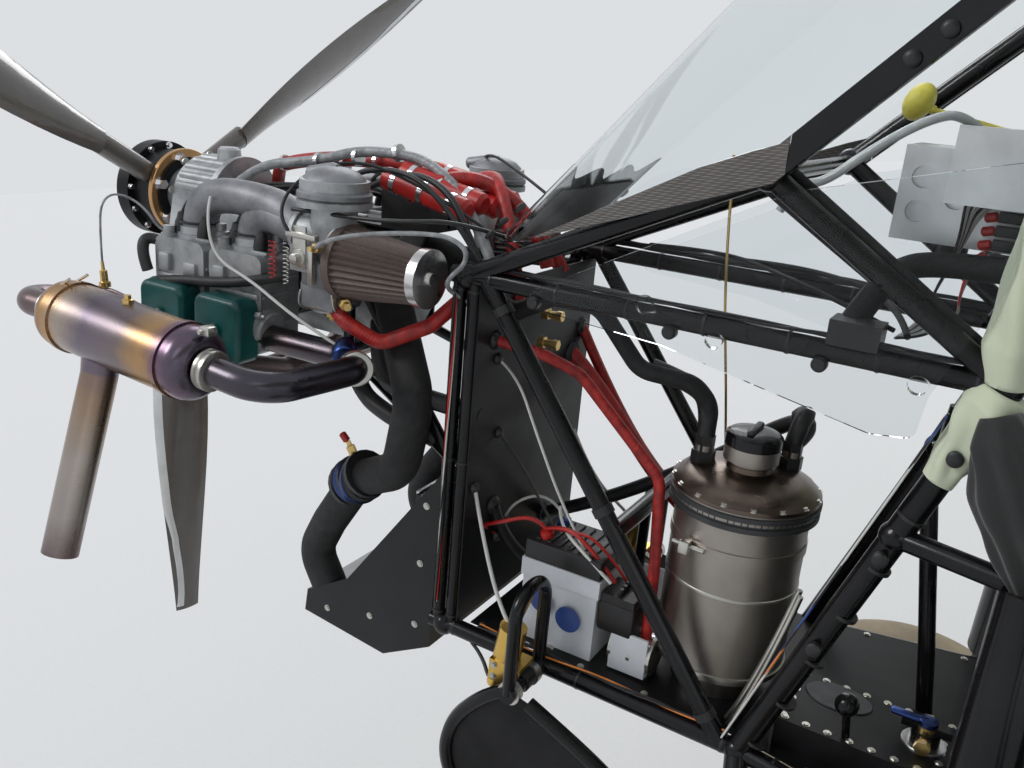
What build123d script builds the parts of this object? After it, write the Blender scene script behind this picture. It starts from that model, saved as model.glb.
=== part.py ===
from build123d import *
import os
from math import cos, radians, sin, tan

os.makedirs("parts", exist_ok=True)

# Light tandem aircraft with a high wing, an open tube frame, an open flat-four engine and a tail wheel.
# It is drawn level, x to port, y aft and z up, with the origin on the centre line in the plane of the
# masts that carry the engine, and is stood on its wheels at the end. Millimetres and degrees.

# Fits
SEAT = 0.3
PIN_PLAY = 0.1

# Stance and main wheels
NOSE_UP = 8.0
GROUND_Z = -1400.0
WHEEL_Y = 620.0
WHEEL_HALF_TRACK = 750.0
TYRE_RADIUS = 330.0
TYRE_WIDTH = 250.0
RIM_RADIUS = 110.0
RIM_WIDTH = 150.0
AXLE = 32.0

# Tubes of the frame
FRAME_TUBE = 25.4
MAST_TUBE = 20.0
MAST_PITCH = 24.0
POST_TUBE = 32.0
LIGHT_TUBE = 19.0
SPAR_TUBE = 50.0
KNUCKLE = 38.0

# Half widths of the frame
NOSE_HALF = 175.0
POST_HALF = 184.0
BROW_HALF = 205.0
JAMB_HALF = 237.0
SPAR_HALF = 262.0
CABIN_HALF = 290.0

# Heights of the frame
FLOOR_Z = -480.0
RAIL_Z = -130.0
DECK_Z = 65.0
BROW_Z = 250.0
ROOF_Z = 700.0

# Stations of the frame
DIAGONAL_TOP_Y = 30.0
DIAGONAL_FOOT_Y = 445.0
BROW_Y = 395.0
POST_FOOT_Y = 470.0
POST_HEAD_Y = 667.0
FRONT_SPAR_Y = 854.0
SILL_Y = 1000.0
MID_POST_Y = 1250.0
REAR_SPAR_Y = 1480.0
CABIN_REAR_Y = 2050.0

# Sheets
SHEET = 2.0
GLAZING = 3.0

# Wing
WING_ROOT_X = 312.0
WING_TIP_X = 4300.0
WING_LE_Y = 560.0
CHORD = 1400.0
WING_BASE_Z = 690.0
WING_THICKNESS = 165.0
HINGE_Y = 1610.0
HINGE_Z = 738.0
SURFACE_NOSE = 34.0
SURFACE_GAP = 8.0
FLAP_OUT_X = 2150.0
AILERON_OUT_X = 4080.0
HINGE_PIN = 8.0
HINGE_PIN_LENGTH = 20.0

# Tail
TAIL_POST_Y = 4600.0
TAIL_HALF = 25.0
TAIL_BASE_Z = -290.0
TAIL_TOP_Z = -14.0
TAIL_THICKNESS = 28.0
TAIL_GAP = 12.0
STAB_CHORD = 450.0
ELEVATOR_CHORD = 350.0
STAB_HALF_SPAN = 1230.0
FIN_TOP_Z = 980.0
RUDDER_CHORD = 390.0
TAIL_TYRE_RADIUS = 100.0
TAIL_TYRE_WIDTH = 62.0
TAIL_TRAIL = 70.0
TAIL_PIVOT_Y = 4790.0

# Propeller
HUB_Y = -787.0
HUB_Z = 69.0
HUB_RADIUS = 88.0
HUB_DEPTH = 30.0
HUB_LEAD = 38.0
BLADE_RADIUS = 940.0
BLADE_COUNT = 3
BLADE_ROOT = 40.0

# Engine
CRANK_Z = -10.0
CASE_HALF = 95.0
CASE_HEIGHT = 190.0
CASE_FRONT_Y = -600.0
CASE_REAR_Y = -290.0
CYLINDER_Y = -369.0
CYLINDER_PITCH = 120.0
BANK_OFFSET = 30.0
BARREL = 104.0
COOLING_FIN = 120.0
COOLING_FIN_COUNT = 5
BARREL_OUT_X = 168.0
HEAD_OUT_X = 248.0
COVER_OUT_X = 288.0
COVER_Z = -67.0
PORT_X = 205.0
CARB_X = 216.0
CARB_Y = -205.0
FILTER_Z = 59.0
FILTER_BASE_Y = -174.0
FILTER_CAP_Y = -34.0
FILTER_BASE = 106.0
FILTER_TIP = 76.0
PLEAT_COUNT = 32
PLEAT_DEPTH = 5.0

# Services
TANK_X = 60.0
TANK_Y = 392.0
TANK = 180.0
TANK_TOP_Z = -185.0
TANK_STAND = 40.0

BEND_SHARE = 0.45


def along(start, end, share):
    """Point a share of the way from start to end."""
    return tuple(a + (b - a) * share for a, b in zip(start, end))


def at_height(start, end, z):
    """Point of the line from start to end at height z."""
    return along(start, end, (z - start[2]) / (end[2] - start[2]))


def starboard(point):
    """The same point on the other side of the centre line."""
    return (-point[0], point[1], point[2])


def tube(start, end, diameter):
    """Solid round tube between two points."""
    run = Vector(*end) - Vector(*start)
    return Solid.make_cylinder(diameter / 2, run.length, Plane(origin=start, z_dir=run))


def ball(centre, diameter):
    """Solid ball, such as the welded knuckle of a frame joint."""
    return Solid.make_sphere(diameter / 2, Plane(origin=centre), -90, 90, 360)


def block(x_span, y_span, z_span):
    """Block between three pairs of limits."""
    corner = Plane(origin=(min(x_span), min(y_span), min(z_span)))
    lengths = [max(span) - min(span) for span in (x_span, y_span, z_span)]
    return Solid.make_box(*lengths, corner)


def bend_radii(points, bend):
    """Radius at each corner of a route: the bend, or less where its two runs are short."""
    radii = []
    for before, corner, after in zip(points, points[1:], points[2:]):
        run_in = Vector(*corner) - Vector(*before)
        run_out = Vector(*after) - Vector(*corner)
        turn = radians(run_in.get_angle(run_out))
        radii.append(min(bend, BEND_SHARE * min(run_in.length, run_out.length) / tan(turn / 2)))
    return radii


def hose(points, diameter, bend, bore=0.0):
    """Round hose or pipe of straight runs joined by tangent arcs."""
    with BuildPart(mode=Mode.PRIVATE) as run:
        with BuildLine() as route:
            FilletPolyline(*points, radius=bend_radii(points, bend))
        with BuildSketch(Plane(origin=route.line @ 0, z_dir=route.line % 0)):
            Circle(diameter / 2)
            if bore:
                Circle(bore / 2, mode=Mode.SUBTRACT)
        sweep()
    return run.part


def both_sides(solids):
    """The solids given for the port side, with their mirror images."""
    return list(solids) + [solid.mirror(Plane.YZ) for solid in solids]


# Joints of the frame on the port side
MAST_FOOT = (NOSE_HALF, 0, FLOOR_Z)
MAST_HEAD = (NOSE_HALF, 0, DECK_Z)
POST_FOOT = (POST_HALF, POST_FOOT_Y, FLOOR_Z)
POST_HEAD = (NOSE_HALF, POST_HEAD_Y, DECK_Z)
BROW = (BROW_HALF, BROW_Y, BROW_Z)
SPAR_END = (SPAR_HALF, FRONT_SPAR_Y, ROOF_Z)
JAMB_HEAD = along(BROW, SPAR_END, (POST_HEAD_Y - BROW_Y) / (FRONT_SPAR_Y - BROW_Y))
SILL = (CABIN_HALF, SILL_Y, FLOOR_Z)
REAR_FOOT = (CABIN_HALF, CABIN_REAR_Y, FLOOR_Z)
REAR_HEAD = (CABIN_HALF, CABIN_REAR_Y, ROOF_Z)
MID_FOOT = (CABIN_HALF, MID_POST_Y, FLOOR_Z)
MID_HEAD = (CABIN_HALF, MID_POST_Y, ROOF_Z)
RAIL_START = at_height(POST_FOOT, POST_HEAD, RAIL_Z)
RAIL_BEND = (CABIN_HALF, SILL_Y, RAIL_Z)
RAIL_MID = (CABIN_HALF, MID_POST_Y, RAIL_Z)
RAIL_END = (CABIN_HALF, CABIN_REAR_Y, RAIL_Z)
STRUT_LUG = along(RAIL_START, RAIL_BEND, 0.35)

# One side of the frame: start, end, tube diameter
SIDE_TUBES = (
    ((NOSE_HALF, -MAST_PITCH / 2, FLOOR_Z), (NOSE_HALF, -MAST_PITCH / 2, DECK_Z), MAST_TUBE),
    ((NOSE_HALF, MAST_PITCH / 2, FLOOR_Z), (NOSE_HALF, MAST_PITCH / 2, DECK_Z), MAST_TUBE),
    ((NOSE_HALF, -MAST_PITCH, DECK_Z), POST_HEAD, FRAME_TUBE),
    ((NOSE_HALF, -MAST_PITCH, FLOOR_Z), POST_FOOT, FRAME_TUBE),
    ((NOSE_HALF, DIAGONAL_TOP_Y, DECK_Z), (POST_HALF, DIAGONAL_FOOT_Y, FLOOR_Z), FRAME_TUBE),
    (POST_FOOT, POST_HEAD, POST_TUBE),
    (MAST_HEAD, BROW, FRAME_TUBE),
    (BROW, POST_HEAD, FRAME_TUBE),
    (BROW, SPAR_END, FRAME_TUBE),
    (POST_HEAD, JAMB_HEAD, FRAME_TUBE),
    (POST_FOOT, SILL, FRAME_TUBE),
    (SILL, REAR_FOOT, FRAME_TUBE),
    (RAIL_START, RAIL_BEND, FRAME_TUBE),
    (RAIL_BEND, RAIL_END, FRAME_TUBE),
    (STRUT_LUG, SILL, FRAME_TUBE),
    (SILL, RAIL_MID, FRAME_TUBE),
    (MID_FOOT, MID_HEAD, FRAME_TUBE),
    (REAR_FOOT, REAR_HEAD, FRAME_TUBE),
    (RAIL_MID, REAR_FOOT, FRAME_TUBE),
    (SPAR_END, MID_HEAD, FRAME_TUBE),
    (MID_HEAD, REAR_HEAD, FRAME_TUBE),
    (RAIL_END, MID_HEAD, LIGHT_TUBE),
)
KNUCKLES = (MAST_FOOT, MAST_HEAD, POST_FOOT, POST_HEAD, BROW, SPAR_END, SILL, RAIL_START, RAIL_BEND, RAIL_MID,
            RAIL_END, REAR_FOOT, REAR_HEAD, MID_FOOT, MID_HEAD, STRUT_LUG)

with BuildPart() as side_frame_left:
    add([tube(start, end, diameter) for start, end, diameter in SIDE_TUBES])
    add([ball(joint, KNUCKLE) for joint in KNUCKLES])
side_frame_left.part.label = "side_frame_left"

with BuildPart() as side_frame_right:
    add(mirror(side_frame_left.part, about=Plane.YZ, mode=Mode.PRIVATE))
side_frame_right.part.label = "side_frame_right"
FRAMES = [side_frame_left.part, side_frame_right.part]

# Cross tubes: distance aft, height, half length, tube diameter
PEDAL_TUBE_Y = 170.0
PEDAL_TUBE_HALF = 275.0
BRACE_Y = 261.0
BRACE_Z = -235.0
CROSS_TUBES = (
    (-MAST_PITCH / 2, FLOOR_Z, NOSE_HALF, MAST_TUBE),
    (-MAST_PITCH / 2, (FLOOR_Z + DECK_Z) / 2, NOSE_HALF, MAST_TUBE),
    (-MAST_PITCH / 2, DECK_Z, NOSE_HALF, MAST_TUBE),
    (PEDAL_TUBE_Y, FLOOR_Z, PEDAL_TUBE_HALF, FRAME_TUBE),
    (BRACE_Y, BRACE_Z, POST_HALF, FRAME_TUBE),
    (POST_FOOT_Y, FLOOR_Z, POST_HALF, FRAME_TUBE),
    (POST_HEAD_Y, DECK_Z, NOSE_HALF, FRAME_TUBE),
    (BROW_Y, BROW_Z, BROW_HALF, LIGHT_TUBE),
    (SILL_Y, FLOOR_Z, CABIN_HALF, FRAME_TUBE),
    (MID_POST_Y, FLOOR_Z, CABIN_HALF, FRAME_TUBE),
    (MID_POST_Y, RAIL_Z, CABIN_HALF, LIGHT_TUBE),
    (MID_POST_Y, ROOF_Z, CABIN_HALF, FRAME_TUBE),
    (CABIN_REAR_Y, FLOOR_Z, CABIN_HALF, FRAME_TUBE),
    (CABIN_REAR_Y, RAIL_Z, CABIN_HALF, FRAME_TUBE),
    (CABIN_REAR_Y, ROOF_Z, CABIN_HALF, FRAME_TUBE),
)
SPAR_Z = ROOF_Z + FRAME_TUBE / 2 + SPAR_TUBE / 2

with BuildPart() as cross_tubes:
    add([tube((-half, y, z), (half, y, z), diameter) for y, z, half, diameter in CROSS_TUBES])
    add([tube((-WING_ROOT_X, y, SPAR_Z), (WING_ROOT_X, y, SPAR_Z), SPAR_TUBE)
         for y in (FRONT_SPAR_Y, REAR_SPAR_Y)])
    add(FRAMES, mode=Mode.SUBTRACT)
cross_tubes.part.label = "cross_tubes"

# Windscreen: one front sheet turning round two corners into side sheets
SCREEN_FOOT = (21.0, 112.0)
SCREEN_TOP = (585.0, 718.0)
SCREEN_FRONT_HALF = 190.0
SCREEN_REAR_HALF = SPAR_HALF + FRAME_TUBE / 2 + SEAT + GLAZING
SCREEN_CORNER = 70.0
SCREEN_LAP = 12.0
SCREEN_REACH = 60.0


def screen_half(y, inset):
    """Half width of the windscreen at a station, from its outside less the inset."""
    share = (y - SCREEN_FOOT[0]) / (FRONT_SPAR_Y - SCREEN_FOOT[0])
    return SCREEN_FRONT_HALF + (SCREEN_REAR_HALF - SCREEN_FRONT_HALF) * share - inset


def screen_body(inset, reach):
    """Block under the windscreen, inset from its outside and reaching past its open edges."""
    slope = Vector(SCREEN_TOP[0] - SCREEN_FOOT[0], SCREEN_TOP[1] - SCREEN_FOOT[1]).normalized()
    inward = Vector(slope.Y, -slope.X)
    foot = Vector(*SCREEN_FOOT) + inward * inset - slope * reach
    top = Vector(*SCREEN_TOP) + inward * inset + slope * reach
    front_y = SCREEN_FOOT[0] - reach
    back_y = FRONT_SPAR_Y + reach
    with BuildPart(mode=Mode.PRIVATE) as body:
        with BuildSketch(Plane.YZ):
            with BuildLine():
                Polyline(foot, top, (back_y, ROOF_Z - 20), (BROW_Y + SCREEN_LAP, BROW_Z - 8 - reach),
                         (SCREEN_FOOT[0] + SCREEN_CORNER, SCREEN_FOOT[1] + SCREEN_LAP + 4 - reach), close=True)
            make_face()
        extrude(amount=2 * CABIN_HALF, both=True)
        with BuildSketch(Plane.XY):
            with BuildLine():
                Polyline((screen_half(front_y, inset), front_y), (screen_half(back_y, inset), back_y),
                         (-screen_half(back_y, inset), back_y), (-screen_half(front_y, inset), front_y), close=True)
            make_face()
        extrude(amount=2 * ROOF_Z, mode=Mode.INTERSECT)
        raked = body.faces().filter_by(lambda face: face.normal_at().Y < -0.5 and face.normal_at().Z > 0.5)
        fillet([edge for edge in raked[0].edges() if abs((edge % 0.5).X) < 0.3], SCREEN_CORNER - inset)
    return body.part


with BuildPart() as windscreen:
    add(screen_body(0, 0))
    add(screen_body(GLAZING, SCREEN_REACH), mode=Mode.SUBTRACT)
windscreen.part.label = "windscreen"

# Side windows: flat sheets leaning with the frame, held off the top longeron by round buttons
SIDE_LEAN = 0.15
SIDE_STAND = 4.0
SIDE_CORNER = 14.0
SIDE_OUTLINE = (
    (69, -19), (291, -33), (545, -83), (592, -77), (598, -23), (655, 128), (660, 235), (430, 175))
BUTTON = 22.0
BUTTONS = ((265, 13), (356, -13), (585, -15))
side_plane = Plane(
    origin=(NOSE_HALF + FRAME_TUBE / 2 + SIDE_STAND, 0, DECK_Z), x_dir=(0, 1, 0), z_dir=(1, 0, -SIDE_LEAN))
with BuildPart() as side_windows:
    with BuildSketch(side_plane) as side_sheet:
        with BuildLine():
            Polyline(*SIDE_OUTLINE, close=True)
        make_face()
        fillet(side_sheet.vertices(), SIDE_CORNER)
    extrude(amount=GLAZING)
    with BuildSketch(side_plane):
        with Locations(*BUTTONS):
            Circle(BUTTON / 2)
    extrude(amount=-2 * SIDE_STAND)
    mirror(about=Plane.YZ)
    add(FRAMES + [windscreen.part], mode=Mode.SUBTRACT)
side_windows.part.label = "side_windows"

# Firewall behind the masts, and the apron under the foot of the windscreen
FIREWALL_Y = MAST_PITCH / 2 + MAST_TUBE / 2 + SEAT
FIREWALL_HALF = NOSE_HALF + 5.0
FIREWALL_BASE_Z = FLOOR_Z + FRAME_TUBE / 2 + SEAT
FIREWALL_TOP_Z = DECK_Z - FRAME_TUBE / 2 - SEAT
APRON = 105.0
APRON_HALF = SCREEN_FRONT_HALF - SCREEN_CORNER
screen_rise = Vector(0, SCREEN_TOP[0] - SCREEN_FOOT[0], SCREEN_TOP[1] - SCREEN_FOOT[1])
screen_plane = Plane(origin=(0, *SCREEN_FOOT), x_dir=(1, 0, 0), z_dir=Vector(1, 0, 0).cross(screen_rise))
with BuildPart() as firewall:
    with BuildSketch(Plane.XZ.offset(-FIREWALL_Y)):
        with Locations((0, (FIREWALL_BASE_Z + FIREWALL_TOP_Z) / 2)):
            Rectangle(2 * FIREWALL_HALF, FIREWALL_TOP_Z - FIREWALL_BASE_Z)
    extrude(amount=-SHEET)
    with BuildSketch(screen_plane.offset(-GLAZING - SEAT)):
        with Locations((0, APRON / 2 + 2 * GLAZING)):
            Rectangle(2 * APRON_HALF, APRON)
    extrude(amount=-SHEET)
    add(FRAMES, mode=Mode.SUBTRACT)
firewall.part.label = "firewall"
FIREWALL_BACK_Y = FIREWALL_Y + SHEET

# Floor, with a low console beside the pilot's stick
PANEL_Z = FLOOR_Z + FRAME_TUBE / 2
PANEL_GAP = 20.0
PANEL_IN = 6.0
FLOOR_TOP_Z = PANEL_Z + SHEET
CONSOLE = ((30, 160), (505, 715))
CONSOLE_TOP_Z = -428.0
with BuildPart() as floor_panels:
    with BuildSketch(Plane.XY.offset(PANEL_Z)):
        with BuildLine():
            Polyline(
                (NOSE_HALF - PANEL_IN, FIREWALL_Y + PANEL_GAP), (POST_HALF - PANEL_IN, POST_FOOT_Y),
                (CABIN_HALF - PANEL_IN, SILL_Y), (CABIN_HALF - PANEL_IN, CABIN_REAR_Y - PANEL_GAP),
                (PANEL_IN - CABIN_HALF, CABIN_REAR_Y - PANEL_GAP), (PANEL_IN - CABIN_HALF, SILL_Y),
                (PANEL_IN - POST_HALF, POST_FOOT_Y), (PANEL_IN - NOSE_HALF, FIREWALL_Y + PANEL_GAP), close=True)
        make_face()
    extrude(amount=SHEET)
    add(block(*CONSOLE, (PANEL_Z, CONSOLE_TOP_Z)))
    add(FRAMES, mode=Mode.SUBTRACT)
floor_panels.part.label = "floor_panels"

# Instrument panel across the door jambs, with round instruments, and the boxes in front of it
DASH = 3.0
DASH_Y = POST_HEAD_Y - FRAME_TUBE / 2 - SEAT - DASH
DASH_BASE_Z = 150.0
DASH_TOP_Z = 340.0
DASH_HALF = 200.0
DASH_CORNER = 30.0
DIAL = 84.0
DIAL_DEPTH = 10.0
DIALS = ((-110, 265), (0, 265), (110, 265), (-110, 195), (110, 195))
DIAL_SIZES = (DIAL, DIAL, DIAL, 50.0, 50.0)
with BuildPart() as instrument_panel:
    with BuildSketch(Plane.XZ.offset(-DASH_Y)):
        with Locations((0, (DASH_BASE_Z + DASH_TOP_Z) / 2)):
            RectangleRounded(2 * DASH_HALF, DASH_TOP_Z - DASH_BASE_Z, DASH_CORNER)
    extrude(amount=-DASH)
    add([tube((x, DASH_Y, z), (x, DASH_Y + DASH + DIAL_DEPTH, z), size)
         for (x, z), size in zip(DIALS, DIAL_SIZES)])
    add(FRAMES, mode=Mode.SUBTRACT)
instrument_panel.part.label = "instrument_panel"

TRAY = ((-100, 20), (500, DASH_Y - SEAT), (180, 290))
RADIO = ((28, 98), (560, DASH_Y - SEAT), (235, 318))
TRAY_HOLE = 26.0
TRAY_HOLES = ((525, 215), (525, 255), (565, 235))
with BuildPart() as avionics_boxes:
    add([block(*TRAY), block(*RADIO)])
    add([tube((TRAY[0][1] - TRAY_HOLE / 2, y, z), (TRAY[0][1] + 1, y, z), TRAY_HOLE) for y, z in TRAY_HOLES],
        mode=Mode.SUBTRACT)
avionics_boxes.part.label = "avionics_boxes"

# Wing panels, each with hinge brackets and pins for its flap and aileron
WING_TE_Y = WING_LE_Y + CHORD
WING_TOP_Z = WING_BASE_Z + WING_THICKNESS
CREST_Y = WING_LE_Y + 420
NOSE_POINT = (WING_LE_Y, WING_BASE_Z + 60)
EDGE_TOP = (WING_TE_Y, WING_BASE_Z + 18)
EDGE_BASE = (WING_TE_Y, WING_BASE_Z + 10)
BELLY = (WING_LE_Y + 260, WING_BASE_Z)
TIP_LE_ROUND = 330.0
TIP_TE_ROUND = 120.0
BRACKET = 6.0
BRACKET_HALF = 15.0
SHROUD_Y = HINGE_Y - SURFACE_NOSE - SURFACE_GAP
FLAP_IN_X = WING_ROOT_X + BRACKET + SURFACE_GAP
MID_BRACKET_X = FLAP_OUT_X + SURFACE_GAP
AILERON_IN_X = MID_BRACKET_X + BRACKET + SURFACE_GAP
TIP_RIB_X = AILERON_OUT_X + SURFACE_GAP


def wing_outline():
    """Aerofoil edge: flat base, arched back and round nose, in the plane across the span."""
    ThreePointArc(NOSE_POINT, (WING_LE_Y + 140, WING_BASE_Z + 140), (CREST_Y, WING_TOP_Z))
    ThreePointArc((CREST_Y, WING_TOP_Z), (WING_LE_Y + 930, WING_BASE_Z + 115), EDGE_TOP)
    Line(EDGE_TOP, EDGE_BASE)
    Line(EDGE_BASE, BELLY)
    ThreePointArc(BELLY, (WING_LE_Y + 40, WING_BASE_Z + 22), NOSE_POINT)


def hinge_pin(x_start, x_end):
    """Pin on the hinge line of the flap and aileron."""
    return tube((x_start, HINGE_Y, HINGE_Z), (x_end, HINGE_Y, HINGE_Z), HINGE_PIN)


with BuildPart() as wing_left:
    with BuildSketch(Plane.YZ.offset(WING_ROOT_X)):
        with BuildLine():
            wing_outline()
        make_face()
    extrude(amount=WING_TIP_X - WING_ROOT_X)
    with BuildSketch(Plane.XY.offset(WING_BASE_Z - WING_THICKNESS)) as wing_plan:
        with BuildLine():
            Polyline((WING_ROOT_X, WING_LE_Y), (WING_TIP_X, WING_LE_Y), (WING_TIP_X, WING_TE_Y),
                     (WING_ROOT_X, WING_TE_Y), close=True)
        make_face()
        fillet(wing_plan.vertices().group_by(Axis.X)[-1].sort_by(Axis.Y)[0], TIP_LE_ROUND)
        fillet(wing_plan.vertices().group_by(Axis.Y)[-1].sort_by(Axis.X)[-1], TIP_TE_ROUND)
    extrude(amount=3 * WING_THICKNESS, mode=Mode.INTERSECT)
    add(block((WING_ROOT_X - 1, TIP_RIB_X), (SHROUD_Y, WING_TE_Y + 10), (WING_BASE_Z - 100, WING_TOP_Z + 100)),
        mode=Mode.SUBTRACT)
    add([block((x, x + BRACKET), (SHROUD_Y - 10, HINGE_Y + BRACKET_HALF),
               (HINGE_Z - BRACKET_HALF, HINGE_Z + BRACKET_HALF)) for x in (WING_ROOT_X, MID_BRACKET_X)])
    add([hinge_pin(WING_ROOT_X, FLAP_IN_X + HINGE_PIN_LENGTH),
         hinge_pin(FLAP_OUT_X - HINGE_PIN_LENGTH, AILERON_IN_X + HINGE_PIN_LENGTH),
         hinge_pin(AILERON_OUT_X - HINGE_PIN_LENGTH, TIP_RIB_X + 1)])
wing_left.part.label = "wing_left"

with BuildPart() as wing_right:
    add(mirror(wing_left.part, about=Plane.YZ, mode=Mode.PRIVATE))
wing_right.part.label = "wing_right"


def surface_outline():
    """Round-nosed wedge of a flap or aileron, in the plane across the span."""
    up = (HINGE_Y, HINGE_Z + SURFACE_NOSE)
    down = (HINGE_Y, HINGE_Z - SURFACE_NOSE)
    ThreePointArc(down, (HINGE_Y - SURFACE_NOSE, HINGE_Z), up)
    Polyline(up, EDGE_TOP, EDGE_BASE, down)


# Flaps and ailerons: name, inner end, outer end
SURFACES = (
    ("flap", FLAP_IN_X, FLAP_OUT_X),
    ("aileron", AILERON_IN_X, AILERON_OUT_X),
)
wing_surfaces = []
for name, x_in, x_out in SURFACES:
    for side, sign in (("left", 1), ("right", -1)):
        with BuildPart() as surface:
            with BuildSketch(Plane.YZ.offset(sign * x_in)):
                with BuildLine():
                    surface_outline()
                make_face()
            extrude(amount=sign * (x_out - x_in))
            for x, inward in ((x_in, sign), (x_out, -sign)):
                start = (sign * x - inward, HINGE_Y, HINGE_Z)
                end = (sign * x + inward * (HINGE_PIN_LENGTH + 1), HINGE_Y, HINGE_Z)
                add(tube(start, end, HINGE_PIN + 2 * PIN_PLAY), mode=Mode.SUBTRACT)
        surface.part.label = f"{name}_{side}"
        wing_surfaces.append(surface)

# Roof sheet between the wing roots
ROOF_FRONT = (SCREEN_TOP[0] + 2 * GLAZING, SCREEN_TOP[1] + 4)
ROOF_BACK = (CABIN_REAR_Y, ROOF_Z + FRAME_TUBE / 2 + 1)
ROOF_CROWN = (FRONT_SPAR_Y + 150, SPAR_Z + SPAR_TUBE / 2 + 30)
with BuildPart() as roof_panel:
    with BuildSketch(Plane.YZ.offset(-WING_ROOT_X)):
        with BuildLine():
            ThreePointArc(ROOF_FRONT, ROOF_CROWN, ROOF_BACK)
            Line(ROOF_BACK, (ROOF_BACK[0], ROOF_BACK[1] + SHEET))
            ThreePointArc((ROOF_BACK[0], ROOF_BACK[1] + SHEET), (ROOF_CROWN[0], ROOF_CROWN[1] + SHEET),
                          (ROOF_FRONT[0], ROOF_FRONT[1] + SHEET))
            Line((ROOF_FRONT[0], ROOF_FRONT[1] + SHEET), ROOF_FRONT)
        make_face()
    extrude(amount=2 * WING_ROOT_X)
    add(FRAMES + [cross_tubes.part, windscreen.part], mode=Mode.SUBTRACT)
roof_panel.part.label = "roof_panel"

# Tail surfaces. The elevator and rudder turn on pins held in lugs of the fixed surfaces
HINGE_LINE_Y = TAIL_POST_Y + TAIL_GAP + TAIL_THICKNESS / 2
STAB_Z = TAIL_TOP_Z + 3 * TAIL_THICKNESS / 2
STAB_LE_Y = TAIL_POST_Y - STAB_CHORD
STAB_ROOT_Y = STAB_LE_Y - 60
STAB_TIP_CUT = (150.0, 180.0)
LUG = 6.0
LUG_HALF = 9.0
LUG_SLOT = 18.0
LUG_POCKET = 26.0
ELEVATOR_IN_X = 45.0
ELEVATOR_IN_REAR_X = 240.0
ELEVATOR_LUGS = (300.0, 1000.0)
RUDDER_LUGS = (330.0, 830.0)
RUDDER_FOOT_LUG_Z = -180.0
RUDDER_FOOT_Z = TAIL_BASE_Z + 20
RUDDER_TOP_Z = FIN_TOP_Z + 30
RUDDER_NOTCH = 45.0
LUG_END_Y = HINGE_LINE_Y + LUG_HALF


def elevator_lug(x):
    """Lug of the stabiliser round the elevator's pin."""
    return block((x - LUG / 2, x + LUG / 2), (TAIL_POST_Y - 1, LUG_END_Y), (STAB_Z - LUG_HALF, STAB_Z + LUG_HALF))


def rudder_lug(z):
    """Lug of the fin or tail post round the rudder's pin."""
    return block((-LUG_HALF, LUG_HALF), (TAIL_POST_Y - 1, LUG_END_Y), (z - LUG / 2, z + LUG / 2))


def elevator_pin(x, play):
    """Pin of the elevator through one lug, with play for its hole."""
    return tube((x - LUG_SLOT, HINGE_LINE_Y, STAB_Z), (x + LUG_SLOT, HINGE_LINE_Y, STAB_Z), HINGE_PIN + 2 * play)


def rudder_pin(z, play):
    """Pin of the rudder through one lug, with play for its hole."""
    return tube((0, HINGE_LINE_Y, z - LUG_SLOT), (0, HINGE_LINE_Y, z + LUG_SLOT), HINGE_PIN + 2 * play)


# Fabric fuselage behind the cabin, a ruled loft between two arched sections
AFT_START_Y = CABIN_REAR_Y + FRAME_TUBE / 2
AFT_BASE_Z = FLOOR_Z - 10
AFT_SHOULDER_Z = ROOF_Z - 180
TAIL_SHOULDER_Z = TAIL_TOP_Z - 24


def fuselage_section(half, base, shoulder, crown):
    """Square-sided section with an arched top."""
    Polyline((-half, shoulder), (-half, base), (half, base), (half, shoulder))
    ThreePointArc((half, shoulder), (0, crown), (-half, shoulder))


with BuildPart() as aft_fuselage:
    with BuildSketch(Plane.XZ.offset(-AFT_START_Y)):
        with BuildLine():
            fuselage_section(CABIN_HALF, AFT_BASE_Z, AFT_SHOULDER_Z, ROOF_Z)
        make_face()
    with BuildSketch(Plane.XZ.offset(-TAIL_POST_Y)):
        with BuildLine():
            fuselage_section(TAIL_HALF, TAIL_BASE_Z, TAIL_SHOULDER_Z, TAIL_TOP_Z - 2)
        make_face()
    loft(ruled=True)
    add(rudder_lug(RUDDER_FOOT_LUG_Z))
    add(rudder_pin(RUDDER_FOOT_LUG_Z, PIN_PLAY), mode=Mode.SUBTRACT)
    add(FRAMES + [cross_tubes.part], mode=Mode.SUBTRACT)
aft_fuselage.part.label = "aft_fuselage"

elevator_stations = [sign * x for sign in (1, -1) for x in ELEVATOR_LUGS]
with BuildPart() as stabilizer:
    with BuildSketch(Plane.XY.offset(STAB_Z - TAIL_THICKNESS / 2)):
        with BuildLine():
            Polyline((0, STAB_ROOT_Y), (STAB_HALF_SPAN - STAB_TIP_CUT[0], STAB_LE_Y + 120),
                     (STAB_HALF_SPAN, TAIL_POST_Y - STAB_TIP_CUT[1]), (STAB_HALF_SPAN, TAIL_POST_Y),
                     (0, TAIL_POST_Y), close=True)
        make_face()
        mirror(about=Plane.YZ)
    extrude(amount=TAIL_THICKNESS)
    add([elevator_lug(x) for x in elevator_stations])
    add([elevator_pin(x, PIN_PLAY) for x in elevator_stations], mode=Mode.SUBTRACT)
    add(aft_fuselage.part, mode=Mode.SUBTRACT)
stabilizer.part.label = "stabilizer"

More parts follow.
